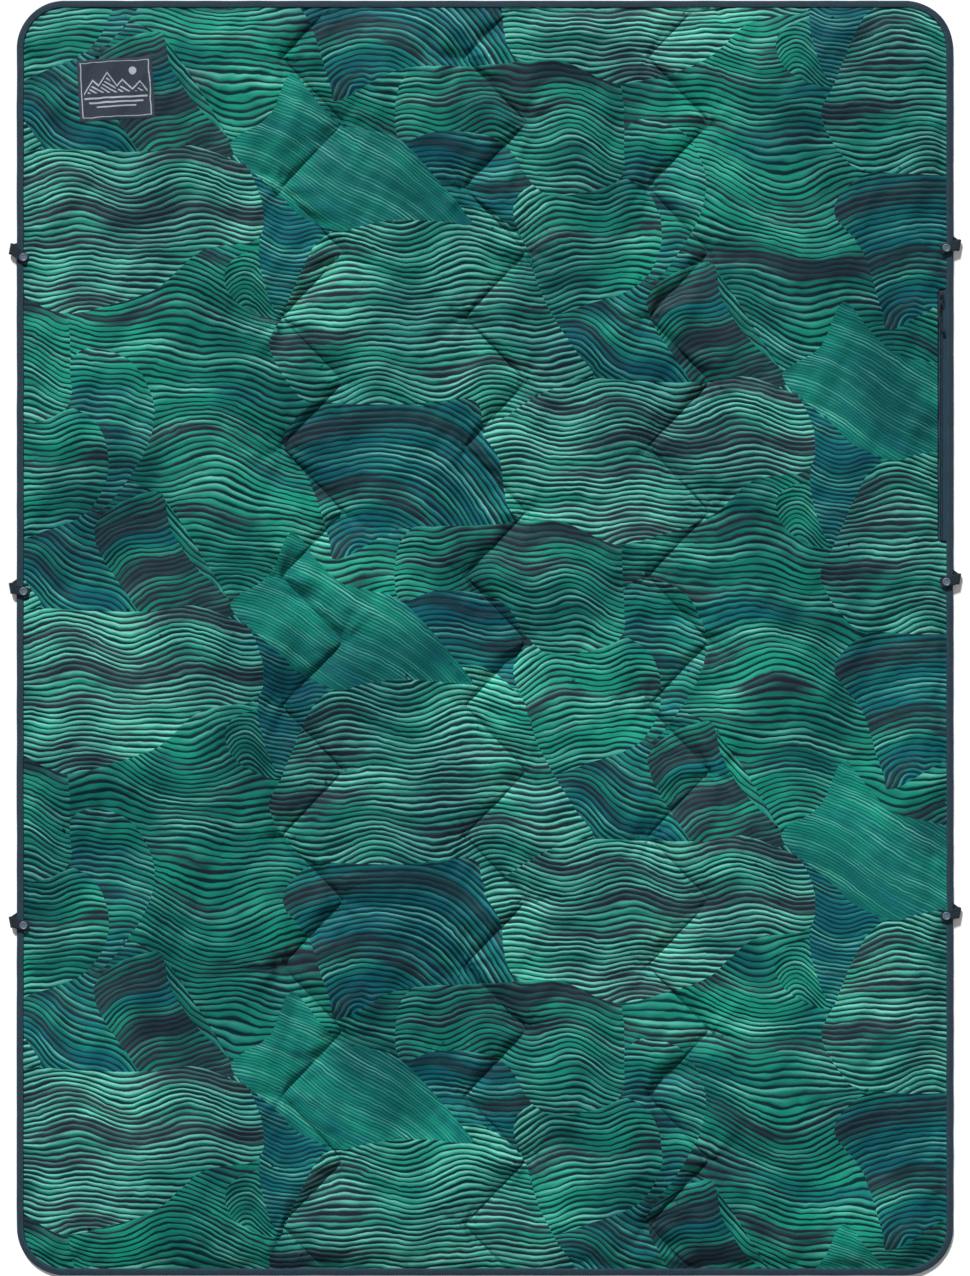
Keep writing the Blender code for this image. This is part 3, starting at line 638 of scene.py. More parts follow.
def rounded(corners, faces, lifted):
    """Halves the triangles smoothly. Returns the finer flat points, lifted points and triangles."""
    made = placed("face_finer", flat_mesh("face_finer", corners, faces, lifted[:, 2]))
    mesh = made.data
    write(mesh.vertices, "co", lifted)
    flat = mesh.attributes.new("flat", "FLOAT_VECTOR", "POINT")
    write(flat.data, "vector", np.column_stack((corners, np.zeros(len(corners)))))
    ends = read(mesh.edges, "vertices", 2, np.int32)
    on_seam = seam_distance(corners[:, 0], corners[:, 1]) < 1.2 * MM
    crease = mesh.attributes.new("crease_edge", "FLOAT", "EDGE")
    write(crease.data, "value", on_seam[ends].all(axis=1))
    halving = made.modifiers.new("halving", "SUBSURF")
    halving.levels = halving.render_levels = 1
    finer = shown(made).to_mesh()
    finer.calc_loop_triangles()
    triangles = read(finer.loop_triangles, "vertices", kind=np.int32)
    result = read(finer.attributes["flat"].data, "vector"), read(finer.vertices, "co"), triangles
    bpy.data.objects.remove(made)
    return result


class Surface:
    """Where each place of the flat plan has come to on the blown-up face."""

    def __init__(self):
        corners, faces = plan(12.5 * MM)
        self.take(*rounded(corners, faces, blow_up(corners, faces)))

    def take(self, flat, points, triangles):
        """From here on the face is this mesh, whose points have come from these flat ones."""
        self.flat = [Vector(p) for p in flat.tolist()]
        self.points = [Vector(p) for p in points.tolist()]
        self.triangles = triangles.tolist()
        self.tree = BVHTree.FromPolygons(self.flat, self.triangles)

    def at(self, x, y):
        """The point of the face over this place."""
        place = Vector((x, y, 0.0))
        near, _, index, _ = self.tree.find_nearest(place)
        corners = self.triangles[index]
        ends = [points[i] for points in (self.flat, self.points) for i in corners]
        moved = barycentric_transform(near, *ends)
        return moved + (place - near)


# The print: overlapping hills of wavy lines in a half-drop repeat, in centimetres from its origin

REPEAT_UP = 68.47
REPEAT_ACROSS = 82.2


def softened(points, parts=4):
    """A closed outline with its corners rounded into a curve through the points."""
    points = np.array(points)
    curve = []
    for i in range(len(points)):
        before, a, b, after = (points[(i + k) % len(points)] for k in (-1, 0, 1, 2))
        for t in np.arange(parts) / parts:
            cubic = 3 * (a - b) + after - before
            square = 2 * before - 5 * a + 4 * b - after
            curve.append(a + 0.5 * t * (b - before + t * (square + t * cubic)))
    return [tuple(point) for point in np.array(curve).tolist()]


class Hill:
    """One painted hill: its outline, how its lines run, and its dye."""

    def __init__(self, outline, shift, dye, wave, slope=0.0, pitch=0.86, arch=0.0, round_at=None):
        self.outline = softened(outline)
        self.shift = shift
        self.dye = dye
        self.wave = wave
        self.slope = math.radians(slope)
        self.pitch = pitch
        self.arch = arch
        self.round_at = round_at
        self.middle = np.mean(np.array(outline), axis=0) if outline else np.zeros(2)

    def lines(self, x, y):
        """(place along the line, number of the line) of points in the repeat, in centimetres."""
        if self.round_at:
            dx, dy = x - self.round_at[0], y - self.round_at[1]
            across = np.hypot(dx, dy)
            along = np.arctan2(dx, dy) * 12.0
        else:
            dx, dy = x - self.middle[0], y - self.middle[1]
            along = dx * math.cos(self.slope) + dy * math.sin(self.slope)
            across = dy * math.cos(self.slope) - dx * math.sin(self.slope)
            across = across + self.arch * along * along
        height, length = self.wave
        sway = 0.55 + 0.45 * np.sin(across * 0.27 + self.shift * 2)
        bend = np.sin(math.tau * along / length + self.shift + across * 0.07)
        finer = np.sin(math.tau * along / (length * 0.52) + self.shift * 1.7 - across * 0.09)
        across = across + height * 1.5 * (sway * bend + 0.2 * (1 - sway) * finer)
        return along, across / self.pitch

    def holds(self, x, y):
        """Which points lie within the outline."""
        inside = np.zeros(x.shape, dtype=bool)
        ends = list(zip(self.outline, self.outline[1:] + self.outline[:1]))
        for (ax, ay), (bx, by) in ends:
            if ay == by:
                continue
            crosses = (ay > y) != (by > y)
            inside ^= crosses & (x < (bx - ax) * (y - ay) / (by - ay) + ax)
        return inside


GROUND = Hill([], slope=-6, wave=(1.7, 27.0), pitch=0.9, dye=(0.15, 0.2, 0.15), shift=0.6)
HILLS = [
    Hill(
        [
            (4, 58), (11, 61.5), (18.5, 61.5), (25, 59), (33, 56), (37.5, 50.5), (45, 38),
            (45, 35), (30, 35), (11, 37.5), (8, 46),
        ],
        slope=-28, wave=(0.8, 15.0), arch=0.010, dye=(0.10, 0.75, 0.55), shift=2.0,
    ),
    Hill(
        [(24, 50.5), (33.3, 56.2), (35.4, 50.5), (39, 45), (45, 37.7), (32, 37.3), (30.5, 38.5)],
        slope=22, wave=(0.5, 12.0), arch=0.012, pitch=0.8, dye=(0.0, 0.35, 0.85), shift=0.3,
    ),
    Hill(
        [(-33.4, -10.5), (-25.8, -10.5), (-24, -16), (-30.3, -21), (-37.5, -18), (-38.5, -13)],
        slope=0, wave=(1.4, 10.0), dye=(0.25, 0.15, 0.0), shift=1.2,
    ),
    Hill(
        [(-12.8, 6), (-6.8, 8), (2.2, 7), (8, 0), (8, -6.4), (-2.3, -7), (-6.8, -0.4)],
        slope=-3, wave=(0.4, 14.0), dye=(0.0, 1.0, 0.6), shift=0.5,
    ),
    Hill(
        [
            (20, 5.6), (23.1, 8.8), (29.1, 7.3), (32.3, 2.6), (33, -2), (30.8, -8), (24.6, -15.5),
            (20.5, -9.3), (19.5, -1.9),
        ],
        slope=-8, wave=(0.5, 11.0), arch=0.022, dye=(0.30, 0.55, 0.25), shift=1.9,
    ),
    Hill(
        [
            (4.2, -4.9), (7.1, -1), (14.1, -0.2), (20.1, 0.2), (24.8, -2.6), (26.3, -9.3),
            (23.1, -15.5), (15.6, -18.6), (8.9, -20), (7, -12.3),
        ],
        slope=8, wave=(0.6, 14.0), arch=0.012, dye=(0.35, 0.15, 0.1), shift=0.2,
    ),
    Hill(
        [
            (-12.8, 13.8), (-8.3, 17.6), (-0.8, 18.4), (6.2, 18.8), (11.6, 17.8), (19.1, 14.2),
            (20.3, 13.1), (20.6, 5.6), (19.8, -0.4), (11.1, -2.6), (7.1, -0.8), (2.2, 5.6),
            (-6.8, 7.1), (-12.8, 5.6),
        ],
        slope=-2, wave=(0.7, 13.0), arch=0.008, dye=(0.35, 0.1, 0.25), shift=1.0,
    ),
    Hill(
        [
            (-37.7, 4.4), (-36, 2.2), (-30.7, -2.3), (-21.8, -9.3), (-25.8, -11), (-30.3, -20.6),
            (-33.8, -12.3), (-33.2, -3.4),
        ],
        slope=-8, wave=(0.5, 12.0), pitch=0.7, dye=(0.25, 1.0, 0.0), shift=0.9,
    ),
    Hill(
        [
            (-30.3, 29.1), (-27.7, 33.5), (-23.2, 35.4), (-15.8, 35.5), (-8.3, 34.5), (-1.9, 36),
            (0.4, 31.5), (2.2, 26.5), (4.1, 18.8), (4.9, 17.4), (-2.3, 16.8), (-12.8, 16.1),
            (-21.8, 11.6), (-23.2, 14.6), (-26.2, 23.5),
        ],
        round_at=(-17.0, 8.5), wave=(0.35, 13.0), pitch=0.84, dye=(0.10, 0.95, 0.5), shift=0.4,
    ),
    Hill(
        [
            (0, 31.5), (8.1, 36.3), (13.1, 38.6), (24.6, 38.2), (33.6, 38.2), (38.8, 39),
            (44.8, 36.8), (47, 35.5), (49, 30), (48, 25), (40, 23.5), (33.6, 18), (26.1, 15.3),
            (19.1, 14.1), (11.6, 17.4), (4.1, 18.4), (2.2, 26.5),
        ],
        slope=-1, wave=(0.85, 17.5), pitch=0.82, dye=(0.95, 0.0, 0.5), shift=0.1,
    ),
    Hill(
        [
            (-32.2, 43), (-30.3, 48), (-25.8, 58), (-21.8, 61), (-18.3, 61.6), (-13.2, 62.6),
            (-8.3, 63.6), (-3.8, 64.5), (0.7, 63.7), (5.6, 59.4), (6.8, 56), (8.9, 50.5),
            (13.4, 43), (16.1, 39.2), (13, 38.2), (8.1, 36.2), (0.2, 31.6), (-1.9, 35.5),
            (-12.8, 34.8), (-23.2, 35.1), (-27.7, 36),
        ],
        slope=1, wave=(0.95, 18.0), pitch=0.86, dye=(0.70, 0.15, 0.3), shift=2.6,
    ),
    Hill(
        [
            (-29, 15.8), (-25, 11.5), (-21.8, 8.4), (-18, 7.2), (-14.1, 6.4), (-10.2, 3.4),
            (-3.8, -4.1), (-2.0, -6.8), (-6.8, -6.5), (-13.2, -6.2), (-18.3, -7), (-21.8, -7.8),
            (-27.7, -5.3), (-30.7, -2.3), (-36, 2.2), (-37.9, 4.4), (-37.2, 6), (-32.2, 9.3),
        ],
        slope=-30, wave=(0.5, 24.0), pitch=0.47, arch=0.006, dye=(0.1, 0.35, -1.0), shift=1.4,
    ),
]


def repeats():
    """The origins of the print's repeats that touch the blanket."""
    for column in (-1, 0, 1):
        for row in range(-3, 4):
            yield column * REPEAT_ACROSS, row * REPEAT_UP - column * REPEAT_UP / 2


def painted(x, y):
    """(along, line, dye) of each triangle's middle and corners: x and y are a column for each."""
    middle_x, middle_y = x[:, 0] * 100, y[:, 0] * 100
    corners_x, corners_y = x[:, 1:] * 100, y[:, 1:] * 100
    along, line = GROUND.lines(corners_x, corners_y)
    along, line = along * 0.01, line.copy()
    dye = np.tile(np.array(GROUND.dye), (len(middle_x), 1))
    for hill in HILLS:
        for shift_x, shift_y in repeats():
            inside = hill.holds(middle_x - shift_x, middle_y - shift_y)
            if inside.any():
                places = corners_x[inside] - shift_x, corners_y[inside] - shift_y
                hill_along, hill_line = hill.lines(*places)
                along[inside] = hill_along * 0.01 + hill.shift
                line[inside] = hill_line + hill.shift * 10
                dye[inside] = hill.dye
    return along, line, dye


def faded(distance, reach):
    """1 at no distance, falling off over this reach."""
    return np.exp(-distance / reach)


def creases(x, y):
    """How far the face stands over the cloth: lips and puckers at the seams, and soft folds."""
    seams = seam_distance(x, y)
    edge = inset_of(x, y)
    open_seam = np.abs(y) < HALF_LENGTH - SEAM_END
    lip = 1.6 * MM * (1 - faded(seams, 1.6 * MM)) + 3.0 * MM * (1 - faded(seams, 9 * MM))
    columns = np.array(list(SEAMS.values()))
    nearest = np.argmin([np.abs(x - seam_x(column, y)) for column in columns], axis=0)
    beside = (1 - faded(seams, 2.5 * MM)) * open_seam
    puckers = lumps(y * 44.0, seams * 9.0 + nearest * 9.0, 1.0, 2.0) * 8.5 * MM
    puckers = puckers * faded(seams, 22 * MM) * beside

    turns = np.round((y - SEAM_PHASE) / (SEAM_PERIOD / 2))
    turn_y = SEAM_PHASE + turns * SEAM_PERIOD / 2
    away_x, away_y = x - seam_x(columns[nearest], turn_y), y - turn_y
    reach, angle = np.hypot(away_x, away_y), np.arctan2(away_y, away_x)
    rays = np.cos(angle) * 2.6 + turns * 5.1, np.sin(angle) * 2.6 + nearest * 7.3
    star = lumps(*rays, 1.0, 6.0) * 11.0 * MM * faded(reach, 36 * MM) * (1 - faded(reach, 9 * MM))

    along, across = x * 0.45 + y * 0.9, x * 0.9 - y * 0.45
    bent = across + 0.018 * np.sin(along * 9.0)
    folds = lumps(along * 5.0, bent * 19.0, 1.0, 5.0) * 5.0 * MM
    folds += lumps(along * 12.0, bent * 44.0, 1.0, 8.0) * 2.6 * MM
    nips = faded(np.abs(lumps(along * 4.0, bent * 13.0, 1.0, 15.0)), 0.05)
    folds -= 3.0 * MM * np.abs(nips * lumps(x, y, 9.0, 17.0))
    beyond = np.abs(y - sum(SLIT_Y) / 2) - (SLIT_Y[1] - SLIT_Y[0]) / 2
    slit = np.hypot(np.maximum(SLIT_X[0] - x, 0), np.maximum(beyond, 0))
    free = eased(seams, 0.0, 20 * MM) * eased(edge, 14 * MM, 34 * MM) * eased(slit, 2 * MM, 25 * MM)
    gathers = lumps(x, y, 36.0, 11.0) * 4.5 * MM * faded(np.abs(edge - 24 * MM), 13 * MM)
    lip = lip * open_seam * eased(edge, 11 * MM, 30 * MM) * eased(slit, 0, 20 * MM)
    return lip + puckers + star * beside + folds * free + gathers * eased(edge, 11 * MM, 16 * MM)


def hill_edges(step):
    """The hills' outlines where they lie on the blanket, as short lines."""
    for hill in HILLS:
        for shift_x, shift_y in repeats():
            ring = [((x + shift_x) / 100, (y + shift_y) / 100) for x, y in hill.outline]
            for ends in zip(ring, ring[1:] + ring[:1]):
                if all(inset_of(*np.array(end)) > 3 * MM for end in ends):
                    yield spaced(list(ends), step), False


def make_face(surface, finish):
    """The printed sheet: the flat plan cut along every hill, laid over the blown-up cloth."""
    chains = list(hill_edges(7 * MM))
    for column in SEAMS.values():
        chains += [(seam_line(column, 4.5 * MM, shift), False) for shift in CREASE_ROWS]
    corners, faces = plan(6.4 * MM, chains)
    points = np.array([tuple(surface.at(x, y)) for x, y in corners.tolist()])
    points[:, 2] += creases(corners[:, 0], corners[:, 1])
    over = np.maximum(points[:, 2] - FACE_CEILING, 0)
    points[:, 2] = np.maximum(points[:, 2] - over + MM * (1 - faded(over, MM)), FACE_FLOOR)
    surface.take(np.column_stack((corners, np.zeros(len(corners)))), points, faces)
    mesh = mesh_of("face_fabric_printed", points, faces.tolist())
    around = corners[faces]
    both = np.concatenate((around.mean(axis=1, keepdims=True), around), axis=1)
    along, line, dye = painted(both[:, :, 0], both[:, :, 1])
    chart = mesh.uv_layers.new(name="lines")
    write(chart.uv, "vector", np.stack((along, line), axis=-1))
    colours = mesh.attributes.new("dye", "FLOAT_COLOR", "CORNER")
    opaque = np.ones((len(faces) * 3, 1))
    write(colours.data, "color", np.concatenate((np.repeat(dye, 3, axis=0), opaque), axis=1))
    return placed("face_fabric_printed", mesh, finish)


# Pieces that lie over or under the face


def back_height(x, y):
    """The back's height: on the floor, drawn up a little along the seams and at the edge."""
    seams = seam_distance(x, y)
    inset = inset_of(x, y)
    height = 0.3 * MM + 1.0 * MM * faded(seams, 7 * MM) * (np.abs(y) < HALF_LENGTH - SEAM_END)
    height += 1.5 * MM * (1 - eased(inset, 8 * MM, 20 * MM))
    height += np.abs(lumps(x, y, 30.0, 5.0)) * 0.9 * MM * faded(seams, 25 * MM)
    return np.where(inset > 17 * MM, np.minimum(height, 1.5 * MM), height)


def make_backing(finish):
    """The plain underside, with no slit."""
    corners, faces = plan(11 * MM, slitted=False)
    height = back_height(corners[:, 0], corners[:, 1])
    mesh = flat_mesh("backing_taffeta", corners, faces[:, ::-1], height)
    return placed("backing_taffeta", mesh, finish)


PADDING_UNDER_FACE = 1.5 * MM
PADDING_TOP_AT_LEAST = 2.2 * MM
PADDING_FLOOR = 1.9 * MM


def make_batting(surface, finish):
    """The padding between the sheets, just under the face and to the left of the pocket."""
    corners, faces = plan(22 * MM)
    x, y = np.moveaxis(corners[faces], 2, 0)
    faces = faces[(inset_of(x, y).min(axis=1) > 18 * MM) & (x.max(axis=1) < POCKET_LOW.x)]
    bm = bmesh.new()
    verts = {}
    for index in np.unique(faces).tolist():
        x, y = corners[index].tolist()
        near = [(0.0, 0)] + [(reach * MM, turn) for turn in range(6) for reach in (7, 14)]
        under = min(surface.at(x + d * math.cos(a), y + d * math.sin(a)).z for d, a in near)
        top = max(under - PADDING_UNDER_FACE, PADDING_TOP_AT_LEAST)
        verts[index] = bm.verts.new((x, y, top))
    for corners_of in faces.tolist():
        bm.faces.new([verts[index] for index in corners_of])
    for part in bmesh.ops.extrude_face_region(bm, geom=bm.faces[:])["geom"]:
        if isinstance(part, bmesh.types.BMVert):
            part.co.z = PADDING_FLOOR
    bmesh.ops.recalc_face_normals(bm, faces=bm.faces)
    return piece(bm, "batting_padding", finish)


def binding_line(inset):
    return [Vector((x, y, 0.0)) for x, y in outline(inset, 3.6 * MM)]


def outward(points):
    """The way out of the blanket at each point of a closed line."""
    count = len(points)
    ways = []
    for i in range(count):
        ahead = points[(i + 1) % count] - points[i - 1]
        ways.append(Vector((ahead.y, -ahead.x, 0.0)).normalized())
    return ways


def edge_ripple(point):
    """How far the tape and its stitches rise here, in millimetres."""
    return noise.noise(point * 45) * 0.35


def make_binding(finish):
    """A tape folded over the edge: a rounded fold outside, pulled down where its stitches run."""
    middle = binding_line(BINDING_WIDTH / 2)
    out = outward(middle)
    count = len(middle)
    half = BINDING_WIDTH / 2
    centre_z = (BINDING_LOW + BINDING_TOP) / 2
    bulge = (BINDING_TOP - BINDING_LOW) / 2

    def section(t):
        """The tape's outside, from its upper hem to its lower one, as (across, height)."""
        if t < 0.45:
            share = t / 0.45
            crown = 0.4 * MM * math.sin(math.pi * min(share * 1.15, 1.0))
            return -half + share * (2 * half - bulge), centre_z + bulge + crown
        if t > 0.65:
            share = (1 - t) / 0.35
            return -half + share * (2 * half - bulge), centre_z - bulge
        turn = math.pi / 2 - math.pi * (t - 0.45) / 0.2
        return half - bulge + bulge * math.cos(turn), centre_z + bulge * math.sin(turn)

    def shape(u, v):
        index = round(v * count) % count
        point, way = middle[index], out[index]
        across, height = section(u)
        if height > centre_z:
            height += (edge_ripple(point) + noise.noise(point * 130) * 0.2 + 0.2) * MM
        uneven = 0.5 if across > -half * 0.5 else 0.7
        across += (noise.noise(point * 22 + Vector((5, 5, 5))) * uneven - 0.3) * MM
        return point + way * across + UP * height

    return thicken(strip("edge_tape", finish, 18, count, shape, size=(0.021, 6.4)), 0.6 * MM, -1.0)


def make_binding_stitches(finish):
    points = binding_line(8.8 * MM)
    path = [(p + UP * (BINDING_TOP + (0.60 + edge_ripple(p)) * MM), UP) for p in points]
    return stitches("edge_stitches", finish, path + path[:1], EDGE_STITCH)


def make_seam_stitches(surface, column, finish, above):
    """A seam's stitches, in the bottom of its crease."""
    line = seam_line(SEAMS[column], 4 * MM)
    if above:
        path = [(surface.at(x, y) + UP * 0.25 * MM, UP) for x, y in line]
    else:
        path = [(Vector((x, y, 1.25 * MM)), -UP) for x, y in line]
    name = f"seam_{'face' if above else 'back'}_stitches_{column}"
    return stitches(name, finish, path, SEAM_STITCH)


# Label

LABEL_MIDDLE = Vector((-548.5 * MM, 815.5 * MM, 0.0))
LABEL_TURN = math.radians(3.3)
LABEL_SIZE = (110 * MM, 90 * MM)
PEAKS = [(-0.42, -0.06), (-0.30, 0.16), (-0.22, 0.06), (-0.10, 0.27), (0.02, 0.05)]
PEAKS += [(0.10, 0.14), (0.22, -0.02), (0.33, 0.10), (0.42, -0.06)]
BARS = [(-0.14, 0.42), (-0.21, 0.36), (-0.28, 0.26)]


def label_place(u, v):
    """The (x, y) of a place on the label, given in shares of its width and height."""
    x, y = u * LABEL_SIZE[0], v * LABEL_SIZE[1]
    cos, sin = math.cos(LABEL_TURN), math.sin(LABEL_TURN)
    return LABEL_MIDDLE.x + x * cos - y * sin, LABEL_MIDDLE.y + x * sin + y * cos


def in_weave(u, v):
    """Where the label's woven picture is light: peaks over three bars, a disc and a border."""
    border = 0.448 < max(abs(u) * 1.0, abs(v) * 1.02) < 0.462
    disc = math.hypot((u - 0.24) * 1.22, v - 0.28) < 0.062
    ridge = -1.0
    for (ax, ay), (bx, by) in zip(PEAKS, PEAKS[1:]):
        if ax <= u <= bx:
            ridge = ay + (by - ay) * (u - ax) / (bx - ax)
    hatched = -0.06 < v < ridge - 0.07 and math.sin((u * 0.8 + v) * 90) > 0.35
    line = abs(v - ridge) < 0.016 or hatched
    bars = any(abs(v - at) < 0.013 and abs(u) < reach for at, reach in BARS)
    return border or disc or (line and abs(u) < 0.42) or bars


def make_label(surface, finish):
    """A woven patch with its hems turned under, lying on the face."""

    def shape(u, v):
        x, y = label_place(u - 0.5, v - 0.5)
        edge = min(u, 1 - u, v * 0.82, (1 - v) * 0.82)
        rise = 0.9 - 0.5 * max(0.0, 1 - edge / 0.02)
        return surface.at(x, y) + UP * (rise + noise.noise(Vector((x, y, 2)) * 60) * 0.25) * MM

    made = strip("woven_label", finish, 220, 180, shape)
    places = read(made.data.uv_layers["UVMap"].uv, "vector", 2).tolist()
    inks = made.data.attributes.new("weave", "FLOAT", "CORNER")
    write(inks.data, "value", [in_weave(u - 0.5, v - 0.5) for u, v in places])
    return made


def make_label_stitches(surface, finish):
    u, v = (0.5 - 3 * MM / size for size in LABEL_SIZE)
    route = spaced([(-u, -v), (u, -v), (u, v), (-u, v)], 0.03, closed=True)
    path = [(surface.at(*label_place(*place)) + UP * 1.1 * MM, UP) for place in route]
    return stitches("label_stitches", finish, path + path[:1], LABEL_STITCH)


def label_finish():
    bloom = {"sheen_weight": 0.2, "specular_ior_level": 0.3}
    made = Finish("woven_label", (0.010, 0.018, 0.036), 0.7, **bloom)
    ink = made.node("ShaderNodeAttribute", {"attribute_name": "weave"}, output="Fac")
    threads = weave(made, 0.9 * MM)
    uneven = made.clouds(made.place(), 300.0, 3.0)
    ground = made.blend(uneven * 0.6 + threads * 0.4, (0.008, 0.014, 0.028), (0.020, 0.034, 0.062))
    light = made.blend(threads, (0.20, 0.25, 0.30), (0.52, 0.57, 0.62))
    made.set(Base_Color=made.blend(ink, ground, light))
    made.relief(threads + ink * 0.8, 0.25 * MM)
    return made


# Snap straps

RIBBON_WIDTH = 15 * MM
HALF_ANGLE = math.radians(26)
FOLD_RADIUS = 3.8 * MM


class Strap:
    """A strap's fold and the ways inwards and along it, in the blanket's own frame."""

    def __init__(self, name):
        self.name = name
        joint = next(j for j in frame["joints"] if j["name"] == f"strap_open_{name}")
        self.fold = Vector(joint["pos_m"])
        axis = Vector(joint["axis"]).normalized()
        self.inward = UP.cross(axis)
        self.across = -axis
        self.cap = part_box(f"snap_cap_{name}")
        middle = sum(self.cap, Vector()) / 2
        self.snap = Vector((middle.x, middle.y, 0))

    def world(self, x, y, z):
        """x inwards from the fold, y across, z up from the fold's middle."""
        return self.fold + self.inward * x + self.across * y + UP * z


def make_ribbon(strap, finish):
    """One ribbon: out from under the edge, round the fold, and back over it to past the snap."""
    fold_width = RIBBON_WIDTH / math.cos(HALF_ANGLE)
    reach = strap.snap - strap.fold
    snap_x, snap_y = reach.dot(strap.inward), reach.dot(strap.across)
    bend = math.atan2(snap_y, snap_x)
    under = 18.5 * MM
    over = math.hypot(snap_x, snap_y) + 9 * MM
    arc = math.pi * FOLD_RADIUS
    whole = under + arc + over
    lift = random.Random(strap.name).uniform(0.0, 0.5) * MM

    def on_leg(length, angle, height, u, share):
        """A point on a leg: skewed at the fold, square at its far end."""
        along = Vector((math.cos(angle), math.sin(angle)))
        side = Vector((-along.y, along.x))
        far = along * length + side * u * RIBBON_WIDTH
        at = Vector((0.0, u * fold_width)).lerp(far, share)
        return strap.world(at.x, at.y, height)

    def shape(u, v):
        u -= 0.5
        walked = v * whole
        if walked < under:
            return on_leg(under, -bend, -FOLD_RADIUS, u, 1 - walked / under)
        walked -= under
        if walked <= arc:
            turn = math.pi * (walked / arc - 0.5)
            cos, sin = FOLD_RADIUS * math.cos(turn), FOLD_RADIUS * math.sin(turn)
            return strap.world(-cos, u * fold_width * (1.0 - 0.02 * math.cos(turn)), sin)
        share = (walked - arc) / over
        return on_leg(over, bend, FOLD_RADIUS + math.sin(math.pi * share) * lift, u, share)

    size = (RIBBON_WIDTH, whole)
    made = strip(f"ribbon_{strap.name}", finish, 8, 60, shape, turned=True, size=size)
    return thicken(made, 0.55 * MM)


# The cap's rolled rim round its dished top, in shares of its radius and its height
CAP_RIM = [(0, 0), (0.90, 0), (0.97, 0.12), (1, 0.38), (0.985, 0.62), (0.93, 0.86), (0.85, 0.99)]
CAP_DISH = [(0.76, 1), (0.70, 0.95), (0.66, 0.80), (0.60, 0.72), (0.30, 0.70), (0, 0.70)]


def make_snap(strap, lacquer, metal):
    """The cap on the flap, the socket under it, and the stud and its post on the edge."""
    name, body = strap.name, f"strap_{strap.name}"
    radius = (strap.cap[1].x - strap.cap[0].x) / 2
    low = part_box(f"strap_flap_{name}")[1].z + 0.1 * MM
    height = strap.cap[1].z + 0.6 * MM - low
    cap = [(radius * share, low + height * rise) for share, rise in CAP_RIM + CAP_DISH]

    low, high = (corner.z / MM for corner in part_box(f"snap_socket_{name}"))
    socket = [(2.8, low), (4.784, low), (5.2, low + 0.25), (5.2, high - 0.3), (4.68, high)]
    socket += [(1.7, high), (1.7, high - 0.35), (2.5, high - 0.45), (2.8, high - 0.8)]

    low, high = (corner.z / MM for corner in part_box(f"snap_stud_{name}"))
    stud = [(0, low), (4.3, low), (4.5, low + 0.2), (4.3, low + 0.5), (2.6, low + 0.55)]
    stud += [(2.1, low + 0.8), (2.15, low + 1.2), (2.4, low + 1.5), (2.2, high - 0.15)]
    stud += [(1.6, high), (0, high - 0.2)]
    post = [(0, 0.05), (4.1, 0.05), (4.5, 0.25), (4.3, 0.55), (1.3, 0.6)]
    post += [(1.3, low + 0.1), (0, low + 0.1)]

    for part, profile, scale, finish, rides, slot in (
        ("cap", cap, 1, lacquer, body, "snap"),
        ("socket", socket, MM, metal, body, "snap_metal"),
        ("stud", stud, MM, metal, "root", "snap_metal"),
        ("post", post, MM, lacquer, "root", "snap"),
    ):
        profile = [(across * scale, up * scale) for across, up in profile]
        made = turning(f"{part}_{name}", finish, profile, strap.snap)
        pack_away(made, rides, f"snap_{part}_{name}", slot)


def make_straps(ribbon_finish, lacquer, metal):
    for body in frame["bodies"]:
        if not body.startswith("strap_"):
            continue
        strap = Strap(body.removeprefix("strap_"))
        ribbon = make_ribbon(strap, ribbon_finish)
        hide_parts(f"strap_flap_{strap.name}", f"strap_anchor_{strap.name}")
        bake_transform(ribbon)
        make_snap(strap, lacquer, metal)


# Stuff pocket and zip


def make_lining(finish):
    """The pocket's two panels and the seam between them, as soft sheets inside the quilt."""
    low, high = POCKET_LOW, POCKET_HIGH
    wide, long = high.x - low.x, high.y - low.y
    for name, level, side in (("lower", low.z, 1), ("upper", high.z, -1)):

        def shape(u, v, level=level, side=side):
            x, y = low.x + u * wide, low.y + v * long
            sag = noise.noise(Vector((x, y, level * 400)) * 30) * min(min(u, v, 1 - v) * 8, 1)
            return Vector((x, y, level + (sag * 0.3 + side * 0.5) * MM))

        panel = strip(f"lining_{name}", finish, 40, 60, shape, size=(0.24, 0.378))
        pack_away(thicken(panel, 0.25 * MM), "root", f"pocket_panel_{name}", "lining")

    def joined(u, v):
        """The seam's route, from the slit's lower end round the pocket to its upper end."""
        walked = v * (wide + long + wide)
        x = max(high.x - walked, low.x, high.x - (wide + long + wide - walked))
        y = low.y + min(max(walked - wide, 0), long)
        return Vector((x, y, low.z + 0.8 * MM + u * (high.z - low.z - 1.6 * MM)))

    seam = strip("lining_seam", finish, 4, 240, joined, size=(0.005, 0.858))
    pack_away(thicken(seam, 0.4 * MM), "root", "pocket_seam", "lining")


def make_tapes(finish):
    """The zip's two tapes, from beside the coils to under the face and under the binding."""
    for name, side in (("inner", -1), ("outer", 1)):
        low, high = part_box(f"zip_tape_{name}")

        def shape(u, v, low=low, high=high, side=side):
            x = (low.x + high.x) / 2 + (high.x - low.x) * (u - 0.5) * side
            y = low.y + v * (high.y - low.y)
            rise = (high.z - low.z - 0.5 * MM) * eased(u, 0.35, 0.8)
            wave = noise.noise(Vector((x, y, 1)) * 40) * 0.2 * MM * u
            return Vector((x, y, low.z + 0.25 * MM + rise + wave))

        made = strip(f"tape_{name}", finish, 14, 120, shape, turned=side < 0, size=(0.012, 0.378))
        pack_away(thicken(made, 0.45 * MM), "root", f"zip_tape_{name}", "tape")


